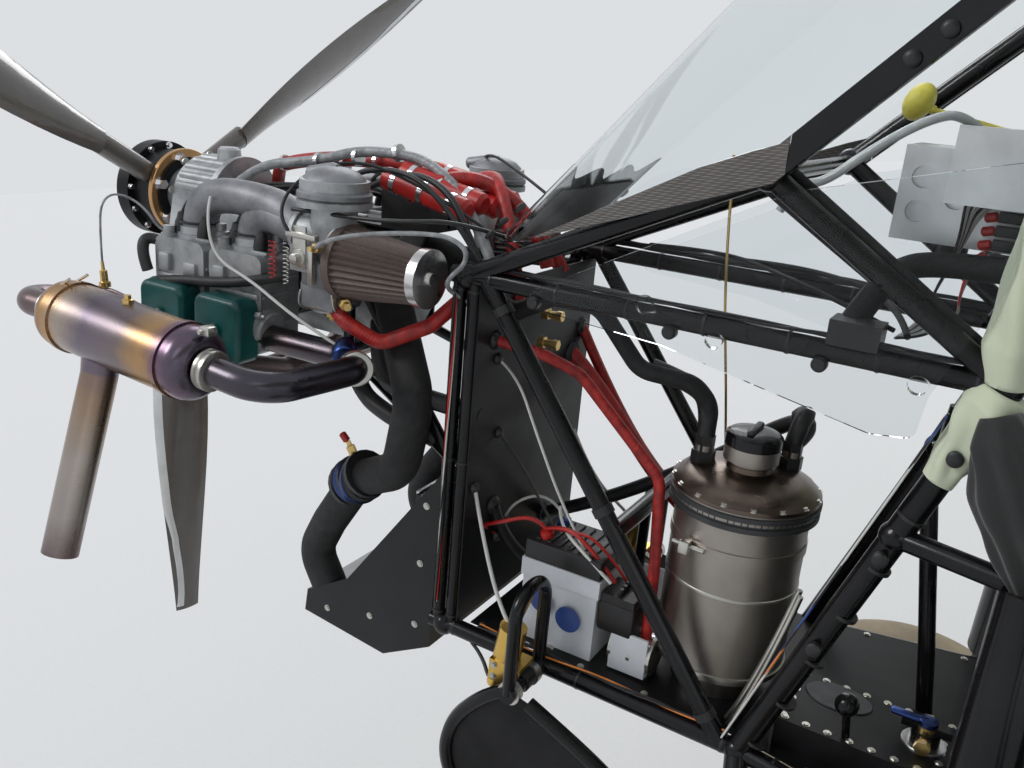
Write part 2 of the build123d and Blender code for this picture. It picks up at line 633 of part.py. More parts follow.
with BuildPart() as elevator:
    for sign in (1, -1):
        with BuildSketch(Plane.XY.offset(STAB_Z - TAIL_THICKNESS / 2)):
            with BuildLine():
                Polyline((sign * ELEVATOR_IN_X, HINGE_LINE_Y), (sign * STAB_HALF_SPAN, HINGE_LINE_Y),
                         (sign * STAB_HALF_SPAN, HINGE_LINE_Y + ELEVATOR_CHORD - STAB_TIP_CUT[0]),
                         (sign * (STAB_HALF_SPAN - STAB_TIP_CUT[1]), HINGE_LINE_Y + ELEVATOR_CHORD),
                         (sign * ELEVATOR_IN_REAR_X, HINGE_LINE_Y + ELEVATOR_CHORD), close=True)
            make_face()
        extrude(amount=TAIL_THICKNESS)
        add(tube((sign * ELEVATOR_IN_X, HINGE_LINE_Y, STAB_Z), (sign * STAB_HALF_SPAN, HINGE_LINE_Y, STAB_Z),
                 TAIL_THICKNESS))
    add([block((x - LUG_SLOT / 2, x + LUG_SLOT / 2), (TAIL_POST_Y, HINGE_LINE_Y + LUG_POCKET),
               (STAB_Z - TAIL_THICKNESS, STAB_Z + TAIL_THICKNESS)) for x in elevator_stations],
        mode=Mode.SUBTRACT)
    add([elevator_pin(x, 0) for x in elevator_stations])
    add(tube((-ELEVATOR_IN_X - 5, HINGE_LINE_Y, STAB_Z), (ELEVATOR_IN_X + 5, HINGE_LINE_Y, STAB_Z),
             TAIL_THICKNESS - 6))
elevator.part.label = "elevator"

with BuildPart() as fin:
    with BuildSketch(Plane.YZ.offset(-TAIL_THICKNESS / 2)):
        with BuildLine():
            Polyline((STAB_ROOT_Y, STAB_Z + TAIL_THICKNESS / 2), (TAIL_POST_Y - 160, FIN_TOP_Z),
                     (TAIL_POST_Y, RUDDER_TOP_Z), (TAIL_POST_Y, STAB_Z + TAIL_THICKNESS / 2), close=True)
        make_face()
    extrude(amount=TAIL_THICKNESS)
    add([rudder_lug(z) for z in RUDDER_LUGS])
    add([rudder_pin(z, PIN_PLAY) for z in RUDDER_LUGS], mode=Mode.SUBTRACT)
    add([stabilizer.part, aft_fuselage.part], mode=Mode.SUBTRACT)
fin.part.label = "fin"

with BuildPart() as rudder:
    with BuildSketch(Plane.YZ.offset(-TAIL_THICKNESS / 2)):
        with BuildLine():
            Polyline((HINGE_LINE_Y, RUDDER_TOP_Z), (HINGE_LINE_Y + 0.77 * RUDDER_CHORD, FIN_TOP_Z - 60),
                     (HINGE_LINE_Y + RUDDER_CHORD, 700), (HINGE_LINE_Y + RUDDER_CHORD, 0),
                     (HINGE_LINE_Y + 0.77 * RUDDER_CHORD, RUDDER_FOOT_Z), (HINGE_LINE_Y, RUDDER_FOOT_Z),
                     close=True)
        make_face()
    extrude(amount=TAIL_THICKNESS)
    add(tube((0, HINGE_LINE_Y, RUDDER_FOOT_Z), (0, HINGE_LINE_Y, RUDDER_TOP_Z), TAIL_THICKNESS))
    add(block((-TAIL_THICKNESS, TAIL_THICKNESS), (TAIL_POST_Y, HINGE_LINE_Y + RUDDER_NOTCH),
              (STAB_Z - RUDDER_NOTCH, STAB_Z + RUDDER_NOTCH)), mode=Mode.SUBTRACT)
    add([block((-TAIL_THICKNESS, TAIL_THICKNESS), (TAIL_POST_Y, HINGE_LINE_Y + LUG_POCKET),
               (z - LUG_SLOT / 2, z + LUG_SLOT / 2)) for z in (*RUDDER_LUGS, RUDDER_FOOT_LUG_Z)],
        mode=Mode.SUBTRACT)
    add([rudder_pin(z, 0) for z in (*RUDDER_LUGS, RUDDER_FOOT_LUG_Z)])
rudder.part.label = "rudder"

# Wire stays of the tail
STAY = 6.0
STAY_X = STAB_HALF_SPAN - 330
STAY_Y = TAIL_POST_Y - 60
with BuildPart() as tail_stays:
    for sign in (1, -1):
        tip = (sign * STAY_X, STAY_Y, STAB_Z)
        add([tube((0, STAY_Y, 640), tip, STAY), tube((0, STAY_Y, RUDDER_FOOT_Z), tip, STAY)])
    add([stabilizer.part, fin.part, aft_fuselage.part], mode=Mode.SUBTRACT)
tail_stays.part.label = "tail_stays"

# Main gear: a V of tubes on each side to the axle, and a shock strut
WHEEL_Z = GROUND_Z + TYRE_RADIUS / cos(radians(NOSE_UP))
AXLE_IN_X = WHEEL_HALF_TRACK - TYRE_WIDTH / 2 - 30
AXLE_OUT_X = WHEEL_HALF_TRACK + RIM_WIDTH / 2 + 10
AXLE_END = (AXLE_IN_X, WHEEL_Y, WHEEL_Z)
GEAR_TUBE = 32.0
SHOCK_FOOT = along(SILL, AXLE_END, 0.72)
SHOCK_HEAD = (STRUT_LUG[0] + 20, STRUT_LUG[1], STRUT_LUG[2])
SHOCK_BODY = 64.0
SHOCK_ROD = 40.0
with BuildPart() as gear_legs:
    add(both_sides([
        tube(POST_FOOT, AXLE_END, GEAR_TUBE),
        tube(SILL, AXLE_END, GEAR_TUBE),
        tube((AXLE_IN_X - 20, WHEEL_Y, WHEEL_Z), (AXLE_OUT_X, WHEEL_Y, WHEEL_Z), AXLE)]))
    add(FRAMES + [cross_tubes.part], mode=Mode.SUBTRACT)
gear_legs.part.label = "gear_legs"

with BuildPart() as shock_struts:
    add(both_sides([
        tube(SHOCK_HEAD, along(SHOCK_HEAD, SHOCK_FOOT, 0.5), SHOCK_BODY),
        tube(SHOCK_HEAD, SHOCK_FOOT, SHOCK_ROD)]))
    add(FRAMES + [gear_legs.part], mode=Mode.SUBTRACT)
shock_struts.part.label = "shock_struts"

# Balloon tyres and their rims
BEAD = TYRE_WIDTH / 2 - 45
SHOULDER = (0.31 * TYRE_WIDTH, TYRE_RADIUS - 22)
SIDEWALL = (TYRE_WIDTH / 2, (RIM_RADIUS + TYRE_RADIUS) / 2)
DISH = 48.0
DISH_DEPTH = 22.0
wheels = []
for side, sign in (("left", 1), ("right", -1)):
    hub_x = sign * WHEEL_HALF_TRACK
    with BuildPart() as tyre:
        with BuildSketch(Plane(origin=(hub_x, WHEEL_Y, WHEEL_Z), x_dir=(1, 0, 0), z_dir=(0, -1, 0))):
            with BuildLine():
                ThreePointArc((-BEAD, RIM_RADIUS), (-SIDEWALL[0], SIDEWALL[1]), (-SHOULDER[0], SHOULDER[1]))
                ThreePointArc((-SHOULDER[0], SHOULDER[1]), (0, TYRE_RADIUS), SHOULDER)
                ThreePointArc(SHOULDER, SIDEWALL, (BEAD, RIM_RADIUS))
                Line((BEAD, RIM_RADIUS), (-BEAD, RIM_RADIUS))
            make_face()
        revolve(axis=Axis((hub_x, WHEEL_Y, WHEEL_Z), (1, 0, 0)))
    tyre.part.label = f"tyre_{side}"
    with BuildPart() as rim:
        add(tube((hub_x - RIM_WIDTH / 2, WHEEL_Y, WHEEL_Z), (hub_x + RIM_WIDTH / 2, WHEEL_Y, WHEEL_Z),
                 2 * (RIM_RADIUS - SEAT)))
        for face_sign in (1, -1):
            face_x = hub_x + face_sign * RIM_WIDTH / 2
            with BuildSketch(Plane(origin=(face_x, WHEEL_Y, WHEEL_Z), z_dir=(face_sign, 0, 0))):
                Circle(RIM_RADIUS - 12)
                Circle(DISH / 2, mode=Mode.SUBTRACT)
            extrude(amount=-DISH_DEPTH, mode=Mode.SUBTRACT)
        add(tube((hub_x - RIM_WIDTH, WHEEL_Y, WHEEL_Z), (hub_x + RIM_WIDTH, WHEEL_Y, WHEEL_Z), AXLE + 1),
            mode=Mode.SUBTRACT)
    rim.part.label = f"rim_{side}"
    wheels += [tyre, rim]

# Tail spring, steered fork and tail wheel; the pivot is upright when the aircraft stands
UPRIGHT = Vector(0, -sin(radians(NOSE_UP)), cos(radians(NOSE_UP)))
BACKWARD = Vector(0, cos(radians(NOSE_UP)), sin(radians(NOSE_UP)))
MAIN_CONTACT = Vector(0, WHEEL_Y, GROUND_Z)
TAIL_RUN = (TAIL_PIVOT_Y - WHEEL_Y) / cos(radians(NOSE_UP))
TAIL_CONTACT = MAIN_CONTACT + BACKWARD * (TAIL_RUN + TAIL_TRAIL)
TAIL_AXLE = TAIL_CONTACT + UPRIGHT * TAIL_TYRE_RADIUS
CROWN_RISE = TAIL_TYRE_RADIUS + 22.0
FORK_CROWN = TAIL_AXLE - BACKWARD * TAIL_TRAIL + UPRIGHT * CROWN_RISE
SPRING_WIDTH = 38.0
SPRING_LEAF = 9.0
SPRING_START = (TAIL_POST_Y - 260, TAIL_BASE_Z - 14)
SPRING_BEND = (TAIL_POST_Y - 60, TAIL_BASE_Z - 14)
PIVOT_HEIGHT = 50.0
PIVOT = 38.0
with BuildPart() as tail_spring:
    spring_end = FORK_CROWN + UPRIGHT * (PIVOT_HEIGHT - 6)
    with BuildSketch(Plane.YZ.offset(-SPRING_WIDTH / 2)):
        with BuildLine():
            Polyline(
                SPRING_START, SPRING_BEND, (spring_end.Y, spring_end.Z),
                (spring_end.Y, spring_end.Z - 3 * SPRING_LEAF), (SPRING_BEND[0], SPRING_BEND[1] - 3 * SPRING_LEAF),
                (SPRING_START[0], SPRING_START[1] - 2 * SPRING_LEAF), close=True)
        make_face()
    extrude(amount=SPRING_WIDTH)
    add(tube(FORK_CROWN + UPRIGHT * SEAT, FORK_CROWN + UPRIGHT * PIVOT_HEIGHT, PIVOT))
    add(block((-SPRING_WIDTH / 2 + 1, SPRING_WIDTH / 2 - 1), (SPRING_START[0] + 20, SPRING_START[0] + 80),
              (TAIL_BASE_Z - 20, TAIL_BASE_Z + 40)))
    add(aft_fuselage.part, mode=Mode.SUBTRACT)
tail_spring.part.label = "tail_spring"

FORK_HALF = TAIL_TYRE_WIDTH / 2 + 8
FORK_PLATE = 5.0
CROWN = 10.0
TAIL_AXLE_PIN = 12.0
with BuildPart() as tailwheel_fork:
    add(tube(FORK_CROWN - UPRIGHT * CROWN, FORK_CROWN, PIVOT + 8))
    for sign in (1, -1):
        arm = Plane(origin=(sign * FORK_HALF, 0, 0), x_dir=(0, 1, 0), z_dir=(sign, 0, 0))
        outline = [arm.to_local_coords(Vector(sign * FORK_HALF, corner.Y, corner.Z)) for corner in (
            FORK_CROWN - BACKWARD * 30, FORK_CROWN + BACKWARD * 30,
            TAIL_AXLE + BACKWARD * 18 - UPRIGHT * 14, TAIL_AXLE - BACKWARD * 18 - UPRIGHT * 14)]
        with BuildSketch(arm):
            with BuildLine():
                Polyline(*((corner.X, corner.Y) for corner in outline), close=True)
            make_face()
        extrude(amount=FORK_PLATE)
    with BuildSketch(Plane(origin=FORK_CROWN, x_dir=(1, 0, 0), z_dir=UPRIGHT).offset(-CROWN)):
        Rectangle(2 * (FORK_HALF + FORK_PLATE), 60)
    extrude(amount=CROWN)
    add(tube((-FORK_HALF - FORK_PLATE, TAIL_AXLE.Y, TAIL_AXLE.Z), (FORK_HALF + FORK_PLATE, TAIL_AXLE.Y, TAIL_AXLE.Z),
             TAIL_AXLE_PIN))
tailwheel_fork.part.label = "tailwheel_fork"

with BuildPart() as tailwheel:
    half = TAIL_TYRE_WIDTH / 2
    bore = TAIL_AXLE_PIN / 2 + 2 * PIN_PLAY
    wall = 0.6 * TAIL_TYRE_RADIUS
    with BuildSketch(Plane(origin=TAIL_AXLE, x_dir=(1, 0, 0), z_dir=(0, -1, 0))):
        with BuildLine():
            Polyline((half, wall), (half, bore), (-half, bore), (-half, wall))
            ThreePointArc((-half, wall), (0, TAIL_TYRE_RADIUS), (half, wall))
        make_face()
    revolve(axis=Axis(TAIL_AXLE, (1, 0, 0)))
tailwheel.part.label = "tailwheel"

# Lift struts: a V to the spars on each side, with jury struts and a tie-down eye
STRUT_DEPTH = 62.0
STRUT_THICK = 26.0
STRUT_SPAN_X = 2250.0
STRUT_TOP_Z = WING_BASE_Z + 12
STRUT_LOW = (CABIN_HALF + 24, SILL_Y - 10, FLOOR_Z)
STRUT_FRONT = (STRUT_SPAN_X, FRONT_SPAR_Y, STRUT_TOP_Z)
STRUT_REAR = (STRUT_SPAN_X, REAR_SPAR_Y, STRUT_TOP_Z)
JURY_FRONT = along(STRUT_LOW, STRUT_FRONT, 0.55)
JURY_REAR = along(STRUT_LOW, STRUT_REAR, 0.55)
JURY_TOP_X = JURY_FRONT[0] + 60
EYE_OUTER = 40.0
EYE_BORE = 20.0
EYE_THICK = 8.0
EYE_X = STRUT_SPAN_X + 70
EYE_Z = WING_BASE_Z - 34


def strut(start, end):
    """Flat strut with round edges, its long axis fore and aft."""
    run = Vector(*end) - Vector(*start)
    with BuildPart(mode=Mode.PRIVATE) as bar:
        with BuildSketch(Plane(origin=start, x_dir=(0, 1, 0), z_dir=run)):
            SlotOverall(STRUT_DEPTH, STRUT_THICK)
        extrude(amount=run.length)
    return bar.part


with BuildPart() as lift_struts:
    add(both_sides([
        *strut(STRUT_LOW, STRUT_FRONT).solids(), *strut(STRUT_LOW, STRUT_REAR).solids(),
        tube(JURY_FRONT, JURY_REAR, LIGHT_TUBE),
        tube(JURY_FRONT, (JURY_TOP_X, FRONT_SPAR_Y, STRUT_TOP_Z), LIGHT_TUBE),
        tube(JURY_REAR, (JURY_TOP_X, REAR_SPAR_Y, STRUT_TOP_Z), LIGHT_TUBE),
        tube((CABIN_HALF - 10, STRUT_LOW[1], FLOOR_Z), (CABIN_HALF + 40, STRUT_LOW[1], FLOOR_Z), 30),
        tube((EYE_X, FRONT_SPAR_Y - EYE_THICK / 2, EYE_Z), (EYE_X, FRONT_SPAR_Y + EYE_THICK / 2, EYE_Z), EYE_OUTER),
        tube((EYE_X, FRONT_SPAR_Y, EYE_Z + EYE_OUTER / 2 - 3), (EYE_X, FRONT_SPAR_Y, STRUT_TOP_Z), EYE_THICK + 4)]))
    add(both_sides([tube((EYE_X, FRONT_SPAR_Y - EYE_THICK, EYE_Z), (EYE_X, FRONT_SPAR_Y + EYE_THICK, EYE_Z), EYE_BORE)]),
        mode=Mode.SUBTRACT)
    add(FRAMES + [wing_left.part, wing_right.part, cross_tubes.part, gear_legs.part, floor_panels.part],
        mode=Mode.SUBTRACT)
lift_struts.part.label = "lift_struts"

# Propeller blades, each lofted from four sections: share of radius, chord, thickness, pitch
BLADE_SECTIONS = ((0.20, 62, 30, 42), (0.38, 104, 20, 30), (0.70, 90, 12, 18), (0.97, 52, 6, 12))
HUB_CENTRE = Vector(0, HUB_Y, HUB_Z)
with BuildPart() as propeller_blades:
    for count in range(BLADE_COUNT):
        turn = radians(180 + 360 / BLADE_COUNT * count)
        outward = Vector(sin(turn), 0, cos(turn))
        sideways = Vector(cos(turn), 0, -sin(turn))
        with BuildSketch(Plane(origin=HUB_CENTRE + outward * BLADE_ROOT, x_dir=sideways, z_dir=outward)):
            Circle(BLADE_ROOT / 2)
        extrude(amount=BLADE_SECTIONS[0][0] * BLADE_RADIUS - 30)
        for share, chord, thick, pitch in BLADE_SECTIONS:
            flat = sideways * cos(radians(pitch)) + Vector(0, 1, 0) * sin(radians(pitch))
            place = HUB_CENTRE + outward * share * BLADE_RADIUS
            with BuildSketch(Plane(origin=place, x_dir=flat, z_dir=outward)):
                with BuildLine():
                    ThreePointArc((-chord / 2, 0), (0, thick * 0.7), (chord / 2, 0))
                    ThreePointArc((chord / 2, 0), (0, -thick * 0.3), (-chord / 2, 0))
                make_face()
        loft()
propeller_blades.part.label = "propeller_blades"

# Hub: front disc, body round the blade roots and rear flange
HUB_BODY = 150.0
HUB_FLANGE = 130.0
HUB_FLANGE_THICK = 14.0
HUB_FRONT_Y = HUB_Y - HUB_LEAD
HUB_BODY_BACK_Y = HUB_Y + BLADE_ROOT / 2 + 3
HUB_BACK_Y = HUB_BODY_BACK_Y + HUB_FLANGE_THICK
with BuildPart() as propeller_hub:
    add([tube((0, HUB_FRONT_Y - HUB_DEPTH / 2, HUB_Z), (0, HUB_FRONT_Y + HUB_DEPTH / 2, HUB_Z), 2 * HUB_RADIUS),
         tube((0, HUB_FRONT_Y, HUB_Z), (0, HUB_BODY_BACK_Y, HUB_Z), HUB_BODY),
         tube((0, HUB_BODY_BACK_Y - 1, HUB_Z), (0, HUB_BACK_Y, HUB_Z), HUB_FLANGE)])
    add(propeller_blades.part, mode=Mode.SUBTRACT)
propeller_hub.part.label = "propeller_hub"

# Engine case, its reduction gearbox and rear housing
CASE_CORNER = 30.0
GEARCASE = 105.0
GEARCASE_RADII = (88.0, 74.0)
GEARCASE_RIM = 8.0
GEARCASE_RIM_THICK = 12.0
NOSE_BOSS = 96.0
REAR_HOUSING = 190.0
REAR_HOUSING_DEPTH = 58.0
with BuildPart() as crankcase:
    with BuildSketch(Plane.XZ.offset(-CASE_REAR_Y)):
        with Locations((0, CRANK_Z)):
            RectangleRounded(2 * CASE_HALF, CASE_HEIGHT, CASE_CORNER)
    extrude(amount=CASE_REAR_Y - CASE_FRONT_Y)
    for margin, depth in ((0, GEARCASE), (GEARCASE_RIM, GEARCASE_RIM_THICK)):
        with BuildSketch(Plane.XZ.offset(-CASE_FRONT_Y)):
            with Locations((0, CRANK_Z)):
                Circle(GEARCASE_RADII[0] + margin)
            with Locations((0, HUB_Z)):
                Circle(GEARCASE_RADII[1] + margin)
            make_hull()
        extrude(amount=depth)
    add(tube((0, HUB_BACK_Y + SEAT, HUB_Z), (0, CASE_FRONT_Y - GEARCASE + 1, HUB_Z), NOSE_BOSS))
    add(tube((0, CASE_REAR_Y - 1, CRANK_Z), (0, CASE_REAR_Y + REAR_HOUSING_DEPTH, CRANK_Z), REAR_HOUSING))
crankcase.part.label = "crankcase"

# The four cylinders: side, distance aft
CYLINDERS = tuple((side, CYLINDER_Y - CYLINDER_PITCH * row - (0 if side > 0 else BANK_OFFSET))
                  for side in (1, -1) for row in (0, 1))
COOLING_FIN_THICK = 4.0
FIN_PITCH = (BARREL_OUT_X - CASE_HALF) / (COOLING_FIN_COUNT + 0.5)
with BuildPart() as cylinders:
    for side, y in CYLINDERS:
        add(tube((side * CASE_HALF, y, CRANK_Z), (side * BARREL_OUT_X, y, CRANK_Z), BARREL))
        for row in range(COOLING_FIN_COUNT):
            x = CASE_HALF + FIN_PITCH * (row + 0.6)
            add(tube((side * x, y, CRANK_Z), (side * (x + COOLING_FIN_THICK), y, CRANK_Z), COOLING_FIN - 2))
cylinders.part.label = "cylinders"

HEAD = (108.0, 152.0)
HEAD_Z = CRANK_Z - 20
HEAD_CORNER = 14.0
HEAD_TOP_Z = HEAD_Z + HEAD[1] / 2
HEAD_BASE_Z = HEAD_Z - HEAD[1] / 2
COVER = (96.0, 100.0)
COVER_CORNER = 18.0
COVER_ROUND = 9.0
COVER_BOSS = 24.0
with BuildPart() as cylinder_heads:
    for side, y in CYLINDERS:
        with BuildSketch(Plane.YZ.offset(side * BARREL_OUT_X)):
            with Locations((y, HEAD_Z)):
                RectangleRounded(*HEAD, HEAD_CORNER)
        extrude(amount=side * (HEAD_OUT_X - BARREL_OUT_X))
cylinder_heads.part.label = "cylinder_heads"

with BuildPart() as rocker_covers:
    for side, y in CYLINDERS:
        with BuildPart(mode=Mode.PRIVATE) as cover:
            with BuildSketch(Plane.YZ.offset(side * HEAD_OUT_X)):
                with Locations((y, COVER_Z)):
                    RectangleRounded(*COVER, COVER_CORNER)
            extrude(amount=side * (COVER_OUT_X - HEAD_OUT_X))
            outer = cover.faces().filter_by(Axis.X).sort_by(Axis.X)[-1 if side > 0 else 0]
            fillet(outer.edges(), COVER_ROUND)
            add(tube((side * (COVER_OUT_X - 1), y, COVER_Z), (side * (COVER_OUT_X + 5), y, COVER_Z), COVER_BOSS))
        add(cover.part)
rocker_covers.part.label = "rocker_covers"

# Cast intake runners with flanges on the heads
RUNNER = 42.0
RUNNER_FLANGE = 62.0
RUNNER_FLANGE_THICK = 9.0
RUNNER_BEND = 38.0
THROAT_Z = FILTER_Z + 30
THROAT_Y = CARB_Y - 44
RUNNER_TOPS = (45.0, 66.0)
with BuildPart() as intake_manifolds:
    for side in (1, -1):
        rear_y = CYLINDER_Y - (0 if side > 0 else BANK_OFFSET)
        for row, rise in enumerate(RUNNER_TOPS):
            port = (side * PORT_X, rear_y - row * CYLINDER_PITCH)
            add(hose([(*port, HEAD_TOP_Z), (*port, HEAD_TOP_Z + rise), (side * CARB_X, THROAT_Y, THROAT_Z)],
                     RUNNER, RUNNER_BEND))
            add(tube((*port, HEAD_TOP_Z), (*port, HEAD_TOP_Z + RUNNER_FLANGE_THICK), RUNNER_FLANGE))
intake_manifolds.part.label = "intake_manifolds"

# Constant-depression carburettors: end x, height and diameter of each turned part, from the bowl up
CARB_STACK = ((-75, -50, 56), (-50, 75, 66), (75, 84, 106), (84, 112, 98), (112, 118, 70))
with BuildPart() as carburettors:
    for side in (1, -1):
        x = side * CARB_X
        add(tube((x, THROAT_Y, THROAT_Z), (x, FILTER_BASE_Y - 8, THROAT_Z), 62))
        add([tube((x, CARB_Y, FILTER_Z + low), (x, CARB_Y, FILTER_Z + high), size)
             for low, high, size in CARB_STACK])
        add([tube((x, CARB_Y - 20, FILTER_Z + 8), (x + side * 52, CARB_Y - 20, FILTER_Z + 8), 14),
             block((x + side * 46, x + side * 52), (CARB_Y - 34, CARB_Y + 6), (FILTER_Z - 14, FILTER_Z + 22))])
    add([intake_manifolds.part, cylinder_heads.part, rocker_covers.part], mode=Mode.SUBTRACT)
carburettors.part.label = "carburettors"


def pleated_ring(size):
    """Star outline of the filter's pleats."""
    return [((size / 2 - PLEAT_DEPTH * (step % 2)) * cos(radians(180 / PLEAT_COUNT * step)),
             (size / 2 - PLEAT_DEPTH * (step % 2)) * sin(radians(180 / PLEAT_COUNT * step)))
            for step in range(2 * PLEAT_COUNT)]


FILTER_RIM = 14.0
with BuildPart() as air_filters:
    for side in (1, -1):
        centre = (side * CARB_X, FILTER_BASE_Y, FILTER_Z)
        for y, size in ((FILTER_BASE_Y, FILTER_BASE), (FILTER_CAP_Y - FILTER_RIM, FILTER_TIP)):
            with BuildSketch(Plane(origin=(centre[0], y, FILTER_Z), x_dir=(1, 0, 0), z_dir=(0, 1, 0))):
                with BuildLine():
                    Polyline(*pleated_ring(size), close=True)
                make_face()
        loft(ruled=True)
        add(tube((centre[0], FILTER_BASE_Y - 8, FILTER_Z), (centre[0], FILTER_BASE_Y + 5, FILTER_Z), FILTER_BASE + 2))
    add(carburettors.part, mode=Mode.SUBTRACT)
air_filters.part.label = "air_filters"

with BuildPart() as filter_caps:
    for side in (1, -1):
        add([tube((side * CARB_X, FILTER_CAP_Y - FILTER_RIM, FILTER_Z), (side * CARB_X, FILTER_CAP_Y, FILTER_Z),
                  FILTER_TIP + 6),
             tube((side * CARB_X, FILTER_CAP_Y - 1, FILTER_Z), (side * CARB_X, FILTER_CAP_Y + 4, FILTER_Z), 18)])
filter_caps.part.label = "filter_caps"

# Exhaust: muffler with rounded ends, a band and its tail pipe, and four pipes
MUFFLER_REAR = (449.0, -210.0, -54.0)
MUFFLER_FRONT = (437.0, -517.0, -41.0)
MUFFLER = 98.0
MUFFLER_ROUND = 24.0
BAND = 5.0
BAND_SHARES = ((0.12, 0.15), (0.85, 0.88))
PIPE = 40.0
PIPE_BEND = 50.0
TAIL_PIPE = 50.0
TAIL_PIPE_WALL = 1.5
TAIL_PIPE_BEND = 60.0
TAIL_PIPE_POINTS = ((445, -420, -80), (448, -421, -110), (525, -425, -360))
EXHAUST_ROUTES = (
    ((205, -489, HEAD_BASE_Z + 8), (205, -489, -150), (300, -600, -60), (437, -612, -40), MUFFLER_FRONT),
    (MUFFLER_REAR, (447, -110, -62), (290, -95, -66), (235, -160, -75), (228, -330, -80)),
    ((-205, -519, HEAD_BASE_Z + 8), (-205, -519, -168), (-100, -470, -190), (160, -450, -190), (330, -455, -120),
     (425, -458, -58)),
    ((-205, -399, HEAD_BASE_Z + 8), (-205, -399, -172), (120, -390, -172), (330, -375, -110), (430, -368, -60)),
)
with BuildPart() as muffler:
    add(tube(MUFFLER_REAR, MUFFLER_FRONT, MUFFLER))
    fillet(muffler.edges().filter_by(GeomType.CIRCLE), MUFFLER_ROUND)
    add([tube(along(MUFFLER_REAR, MUFFLER_FRONT, first), along(MUFFLER_REAR, MUFFLER_FRONT, last), MUFFLER + BAND)
         for first, last in BAND_SHARES])
    add(hose(TAIL_PIPE_POINTS, TAIL_PIPE, TAIL_PIPE_BEND, TAIL_PIPE - 2 * TAIL_PIPE_WALL))
muffler.part.label = "muffler"

with BuildPart() as exhaust_pipes:
    add([hose(route, PIPE, PIPE_BEND) for route in EXHAUST_ROUTES])
    add([muffler.part, cylinder_heads.part, rocker_covers.part, cylinders.part], mode=Mode.SUBTRACT)
exhaust_pipes.part.label = "exhaust_pipes"

# Engine mount from the masts
MOUNT_PAD_Y = CASE_REAR_Y + 30
MOUNT_HALF = 110.0
MOUNT_PAD_TOP_Z = 30.0
MOUNT_PAD_BASE_Z = -110.0
MOUNT_HIGH = (NOSE_HALF, -MAST_PITCH / 2, DECK_Z - 30)
MOUNT_LOW = (NOSE_HALF, -MAST_PITCH / 2, -205)
PAD_HIGH = (MOUNT_HALF, MOUNT_PAD_Y, MOUNT_PAD_TOP_Z)
PAD_LOW = (MOUNT_HALF, MOUNT_PAD_Y, MOUNT_PAD_BASE_Z)
with BuildPart() as engine_mount:
    add(both_sides([
        tube(MOUNT_HIGH, PAD_HIGH, LIGHT_TUBE), tube(MOUNT_LOW, PAD_LOW, LIGHT_TUBE),
        tube(MOUNT_LOW, PAD_HIGH, LIGHT_TUBE), tube(PAD_HIGH, PAD_LOW, LIGHT_TUBE),
        ball(PAD_HIGH, LIGHT_TUBE + 8), ball(PAD_LOW, LIGHT_TUBE + 8)]))
    add([tube(starboard(PAD_HIGH), PAD_HIGH, LIGHT_TUBE), tube(starboard(PAD_LOW), PAD_LOW, LIGHT_TUBE)])
    add(FRAMES + [cross_tubes.part, crankcase.part, carburettors.part, air_filters.part, exhaust_pipes.part,
                  cylinder_heads.part], mode=Mode.SUBTRACT)
engine_mount.part.label = "engine_mount"

# Moulded scoop with the radiator inside it
SCOOP_HALF = 170.0
SCOOP_WALL = 4.0
SCOOP_LIP = (-285, -530)
SCOOP_SHOULDER = (-200, -480)
SCOOP_OUTLINE = ((-26, -240), (-30, -540), (-120, -590), (-290, -572), SCOOP_LIP, SCOOP_SHOULDER)
RADIATOR = 35.0
with BuildPart() as air_scoop:
    with BuildSketch(Plane.YZ.offset(-SCOOP_HALF)):
        with BuildLine():
            Polyline(*SCOOP_OUTLINE, close=True)
        make_face()
    extrude(amount=2 * SCOOP_HALF)
    mouth = air_scoop.faces().filter_by(lambda face: face.normal_at().Y < -0.9).sort_by(Axis.Z)[0]
    offset(amount=-SCOOP_WALL, openings=mouth)
air_scoop.part.label = "air_scoop"

with BuildPart() as radiator:
    add(block((-SCOOP_HALF + SCOOP_WALL + 1, SCOOP_HALF - SCOOP_WALL - 1),
              (SCOOP_OUTLINE[1][0] - 10 - RADIATOR, SCOOP_OUTLINE[1][0] - 10), (-520, -290)))
    add(air_scoop.part, mode=Mode.SUBTRACT)
radiator.part.label = "radiator"

# Coolant hoses with their T blocks, and the oil hose to the tank
COOLANT = 58.0
T_BLOCK = 74.0
OIL_HOSE = 24.0
scoop_point = along((150, *SCOOP_SHOULDER), (150, *SCOOP_LIP), 0.66)
scoop_normal = Vector(0, SCOOP_LIP[1] - SCOOP_SHOULDER[1], SCOOP_SHOULDER[0] - SCOOP_LIP[0]).normalized()
hose_end = Vector(*scoop_point) + scoop_normal * SEAT
hose_turn = Vector(*scoop_point) + scoop_normal * 60
COOLANT_ROUTE = (
    (60, -245, 40), (100, -190, 10), (130, -156, -22), (200, -61, -124), (200, -81, -240), (165, -186, -297),
    (150, -256, -399), (hose_turn.X, hose_turn.Y, hose_turn.Z), (hose_end.X, hose_end.Y, hose_end.Z))
T_SPAN = ((172, -165, -285), (158, -207, -309))
OIL_ROUTE = (
    (90, FIREWALL_BACK_Y, 0), (90, 90, 38), (100, 165, 42), (100, 235, -33), (75, 305, -42), (64, 328, -70),
    (64, 328, TANK_TOP_Z + 60))
with BuildPart() as coolant_hoses:
    add(both_sides([*hose(COOLANT_ROUTE, COOLANT, 60).solids(), tube(*T_SPAN, T_BLOCK)]))
    add(hose(OIL_ROUTE, OIL_HOSE, 40))
    add([crankcase.part, carburettors.part, air_filters.part, exhaust_pipes.part, engine_mount.part,
         air_scoop.part, cylinder_heads.part, intake_manifolds.part, firewall.part], mode=Mode.SUBTRACT)
